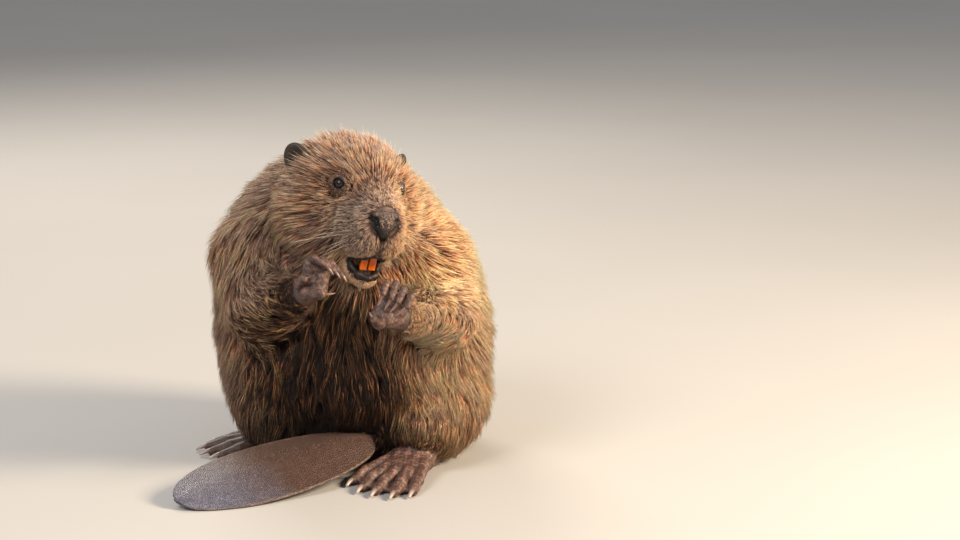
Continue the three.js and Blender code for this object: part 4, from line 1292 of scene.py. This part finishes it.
def build_coat(points, faces):
    """Tufts all over the skin. They lean and colour together in clumps, and some are bold and stand out."""

    def spacing_of(p):
        return COAT["spacing"][0] + COAT["spacing"][1] * coat_depth(p)

    def at_height(p, height):
        """Points moved to a height over the skin."""
        rows = np.hstack([p, height[:, None]])
        return in_parts(lambda row: settle(hide, row[:, :3], 12, row[:, 3]), rows)

    roots = scattered(points, faces, spacing_of)
    roots = roots[(in_parts(bare_share, roots) < 0.5) & (roots[:, 2] > 0.6)]
    count = len(roots)
    depth, wet_and_shade, crown = coat_depth(roots), wetness_and_shade(roots), crown_share(roots)
    head_part = forward_of_nape(roots)[:, None]
    normal = unit(in_parts(lambda p: gradient(hide, p)[1], roots))

    clumps = thinned_out(roots, spacing_of(roots) * COAT["clump"] * (1 + 0.5 * wet_and_shade))
    mine = nearest(roots, roots[clumps])
    centre = clumps[mine]
    clump_tone = rng.normal(0, 1, len(clumps)).clip(-2, 2)[mine]
    tuft_tone = rng.normal(0, 1, count).clip(-2, 2)
    calm = 1 - 0.65 * head_part
    clump_turn = rng.normal(0, 0.2, (len(clumps), 3))[mine] * calm

    length = tuft_length(depth) * rng.uniform(0.75, 1.15, count) * (1 - 0.4 * face_share(roots))
    length *= 0.4 + 0.6 * smooth(from_eyes(roots), 9, 21)
    length *= 1 - 0.5 * below_nose(roots)
    way = along_skin(lie(roots) + clump_turn + rng.normal(0, 0.1, roots.shape) * calm, normal)
    bold = rng.random(count) < BOLD["share"] * (1 - 0.6 * crown)
    bold_clump = (rng.random(len(clumps)) < BOLD["clumps"])[mine]
    bold |= bold_clump & (rng.random(count) < BOLD["in_clump"] * (1 - 0.7 * crown))
    rise = rng.uniform(0.5, 1.0, count) * (1 - 0.3 * crown)
    rise = np.where(bold, 1 + stand_out(roots) * rng.uniform(*BOLD["rise"], count), rise)
    length *= np.where(bold, BOLD["longer"], 1.0)

    inner, outer = length * MIDDLE["along"], length * (1 - MIDDLE["along"])
    middle = at_height(roots + way * inner[:, None], depth * rise * MIDDLE["height"])
    onward = along_skin(way + 0.35 * (lie(middle) - way), normal)
    tip = at_height(middle + onward * outer[:, None], depth * rise)
    pull = np.clip(0.1 + 0.32 * smooth(depth, 3, 9) + 0.25 * wet_and_shade + 0.16 * rng.normal(size=count), 0, 0.85)
    pull = pull[:, None] * (1 - 0.5 * bold[:, None]) * (1 - 0.3 * head_part)
    middle = middle + PULL["middle"] * pull * (middle[centre] - middle)
    tip = tip + PULL["tip"] * pull * (tip[centre] - tip)

    between = (middle + tip) / 2
    seen = clear_of_eyes(middle) & clear_of_eyes(tip) & clear_of_eyes(between)
    for name in SIDES:
        reach, share_kept = EAR_CLEAR[name]
        over_ear = np.minimum(ear_form[name](tip), ear_form[name](between)) < reach
        seen &= ~over_ear | (rng.random(count) < share_kept)
    width = (COAT["width"][0] + COAT["width"][1] * depth) * rng.uniform(0.65, 1.35, count)
    colours = coat_colour(roots, clump_tone, tuft_tone + 1.3 * (rise - 0.85))
    path = [roots - normal * ROOT_DEPTH, middle, tip]
    label = region_of(roots)
    material = tinted("coat_hair", 0.46, 0.36, (260, 0.82, 1.2), sheen=0.03)
    for name in sorted(set(label)):
        own = (label == name) & seen
        places = bake_places(roots[own], normal[own])
        own_path, own_colours = [p[own] for p in path], [c[own] for c in colours]
        build_tufts(name, material, own_path, normal[own], width[own], own_colours, places)


# ---- Eyes, teeth, claws and whiskers ----
def lathe_faces(rings, around):
    """Faces between rings of points, with one point before the first ring and one after the last."""
    first, last = rings * around, rings * around + 1
    faces = []
    for i in range(around):
        j = (i + 1) % around
        faces += [(first, j, i), (last, (rings - 1) * around + i, (rings - 1) * around + j)]
        for n in range(rings - 1):
            a, b = n * around + i, n * around + j
            faces += [(a, b, a + around), (b, b + around, a + around)]
    return np.array(faces)


def tube(path, radii, around, side, flatten=1.0):
    """A closed round body along a path. Side is a direction that its sections are lined up with."""
    path = np.asarray(path, float)
    ahead = unit(np.gradient(path, axis=0))
    across = unit(np.cross(ahead, side))
    up = unit(np.cross(across, ahead))
    angles = 2 * np.pi * np.arange(around) / around
    rings = [
        p + r * (np.cos(angles)[:, None] * a + flatten * np.sin(angles)[:, None] * u)
        for p, r, a, u in zip(path, radii, across, up)
    ]
    ends = [path[:1] - ahead[:1] * radii[0] * 0.3, path[-1:] + ahead[-1:] * radii[-1] * 0.6]
    return np.concatenate(rings + ends), lathe_faces(len(path), around)[:, ::-1]


def build_eyes():
    """Wet dark balls."""
    material = eye_material()
    around, rings = 40, 19
    turn = 2 * np.pi * np.arange(around) / around
    polar = np.pi * np.arange(1, rings + 1) / (rings + 1)
    hoop = np.stack([0 * turn, np.cos(turn), np.sin(turn)], 1)
    ball = [np.sin(p) * hoop + (math.cos(p), 0, 0) for p in polar]
    ball = np.concatenate(ball + [[(1, 0, 0)], [(-1, 0, 0)]])
    for name in SIDES:
        points = eye_axes(name).at + ball * EYE["r"]
        obj = make_mesh(f"eyeball_{name}", points, lathe_faces(rings, around)[:, ::-1], material)
        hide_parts(f"eye_{name}")


def build_incisors():
    """Flat-fronted chisels, bent back a little and bevelled behind their cutting edge."""
    material = tinted("tooth_enamel", 0.3, 0.4, (500, 0.8, 1.15), (900, 0.12, 0.0003), coat=0.2)
    spec = INCISOR
    rings, around = 22, 28
    turn = 2 * np.pi * np.arange(around) / around
    across, front = [np.sign(w) * np.abs(w) ** k for w, k in ((np.cos(turn), 0.42), (np.sin(turn), 0.5))]
    radius = spec["length"] / math.radians(spec["bend"])
    tooth, shares = [], []
    for n in range(rings):
        t = n / (rings - 1)
        wide = spec["width"] / 2 * (1 - 0.05 * t)
        thick = spec["thick"] / 2 * (1 - 0.75 * smooth(t, 0.8, 1.0))
        out = radius + front * thick + (spec["thick"] / 2 - thick)
        a = math.radians(spec["bend"] * t)
        tooth.append(np.stack([out * math.sin(a), across * wide, out * math.cos(a) - radius], 1))
        shares.append(np.full(around, t))
    tooth = np.concatenate(tooth + [tooth[0].mean(0)[None], tooth[-1].mean(0)[None]])
    share = np.concatenate(shares + [[0.0], [1.0]])
    for name in SIDES:
        offset = np.array(spec["at"]) + (0, SIDES[name] * (spec["width"] + spec["gap"]) / 2, 0)
        points = head.out(tooth @ turned("y", spec["slope"]).T + offset)
        colour = mixed(ENAMEL_TOP, ENAMEL_TIP, share) * (1 + 0.1 * ripple(points, 2.5, 31))[:, None]
        obj = make_mesh(f"tooth_{name}", points, lathe_faces(rings, around), material, colour)
        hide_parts(f"incisor_{name}")


def build_claws():
    """Curved cones, paler at the tip."""
    material = tinted("claw_horn", 0.34, 0.5, (700, 0.85, 1.15), (1400, 0.15, 0.0004), coat=0.15)

    def claw(part, limb, base, tip, down):
        spec = CLAW[limb]
        bend = math.radians(spec["bend"])
        x = unit(tip - base)
        y = unit(np.cross(-unit(np.asarray(down, float)), x))
        z = np.cross(x, y)
        t = np.linspace(0, 1, 12)
        radius = np.linalg.norm(tip - base) * 1.06 / bend
        a = t * bend - bend / 2
        lift = radius * (np.cos(a) - math.cos(bend / 2))
        reach = radius * (np.sin(a) + math.sin(bend / 2))
        path = base + reach[:, None] * x + lift[:, None] * z
        radii = spec["r"] * np.clip(1 - t**1.7 * spec["taper"], 0.12, 1) * np.where(t < 0.08, 0.94, 1.0)
        points, faces = tube(path, radii, 12, z, 0.9)
        share = smooth(np.concatenate([np.repeat(t, 12), [0.0, 1.0]]), 0.1, 0.9)
        obj = make_mesh(f"horn_{part}", points, faces, material, mixed(*HORN[limb], share))
        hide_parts(f"claw_{part}")

    for name in SIDES:
        for i, (base, tip) in enumerate(paws[name][1]):
            to_grip = np.array(GRIP["at"]) - tip
            down = to_grip - grip_axis * (to_grip @ grip_axis)
            claw(f"forepaw_{name}_{i + 1}", "paw", base, tip, down)
        for i, (base, tip) in enumerate(feet[name][1]):
            claw(f"hind_foot_{name}_{i + 1}", "foot", base, tip, (0, 0, -1))


WHISKERS = {"count": 6, "r": 0.36, "length": (34, 58), "longest": 66}


def build_whiskers():
    """Three rows of bent hairs on each side of the muzzle, with one long one."""
    points, faces, start = [], [], 0
    for name in SIDES:
        for n in range(WHISKERS["count"]):
            row, place = n % 3, n // 3
            root = mirrored((92 - 9 * place - 2 * row, 23 + 4 * place, -15 - 7 * row), name)
            length = WHISKERS["longest"] if n == 4 else rng.uniform(*WHISKERS["length"])
            way = np.array([-0.35 - 0.12 * place, SIDES[name] * 1.0, -0.2 - 0.22 * row])
            way = unit(way + rng.normal(0, 0.1, 3))
            bend = np.array([-0.5, 0, -0.35]) + rng.normal(0, 0.1, 3)
            t = np.linspace(0, 1, 9)[:, None]
            path = head.out(np.array(root, float) + way * length * t + bend * length * 0.45 * t**2)
            r = WHISKERS["r"] * (1.25 if n == 4 else 1.0)
            p, f = tube(path, r * (1 - 0.3 * t[:, 0]), 5, (0, 0, 1.0))
            points.append(p)
            faces.append(f + start)
            start += len(p)
    obj = make_mesh("whiskers", np.concatenate(points), np.concatenate(faces), whisker_material())


# ---- Stage ----
LIGHTS_AIM = Vector((0, 0, 0.2))
FLOOR_Z = -0.0005


def build_stage():
    mesh = bpy.data.meshes.new("floor")
    corners = [(x, y, FLOOR_Z) for x, y in ((-14, -8), (14, -8), (14, 20), (-14, 20))]
    mesh.from_pydata(corners, [], [(0, 1, 2, 3)])
    floor = placed("floor", mesh)
    n = Nodes("floor_paper", 0.9, 0.2)
    floor.data.materials.append(n.shade(Base_Color=n.varied((0.4, 0.39, 0.375, 1), 1.2, 0.97, 1.03)))
    floor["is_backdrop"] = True

    world = bpy.data.worlds.new("studio")
    bpy.context.scene.world = world
    world.use_nodes = True
    background = world.node_tree.nodes["Background"]
    background.inputs["Color"].default_value = (0.93, 0.95, 1.0, 1)
    background.inputs["Strength"].default_value = 0.45

    def light(name, at, size, power, colour):
        data = bpy.data.lights.new(name, "AREA")
        data.size = size
        data.energy = power
        data.color = colour
        lamp = placed(name, data)
        lamp.location = at
        lamp.rotation_euler = (LIGHTS_AIM - Vector(at)).to_track_quat("-Z", "Y").to_euler()

    light("key", (-1.3, -2.0, 2.2), 1.2, 62, (1.0, 0.97, 0.94))
    light("side", (2.3, -0.9, 1.5), 0.8, 178, (1.0, 0.8, 0.58))
    light("back", (-0.9, 2.2, 2.0), 1.2, 60, (1.0, 0.9, 0.78))


CAMERA = {"aim": (0.103, -0.056, 0.230), "distance": 3.24, "elevation": 12, "lens": 100}


def build_camera():
    data = bpy.data.cameras.new("camera")
    data.lens = CAMERA["lens"]
    data.sensor_width = 36
    camera = placed("camera", data)
    e = math.radians(CAMERA["elevation"])
    back = Vector((0, -math.cos(e), math.sin(e)))
    camera.location = Vector(CAMERA["aim"]) + back * CAMERA["distance"]
    camera.rotation_euler = back.to_track_quat("Z", "Y").to_euler()
    bpy.context.scene.camera = camera


bpy.context.scene.view_settings.view_transform = "Standard"
build_camera()
build_stage()
skin_points, skin_faces = build_skin()
build_coat(skin_points, skin_faces)
build_eyes()
build_incisors()
build_claws()
build_whiskers()

boxes = {"cad": CAD_BOX, "visual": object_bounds()}
{k: [[float(x) for x in corner] for corner in box] for k, box in boxes.items()}
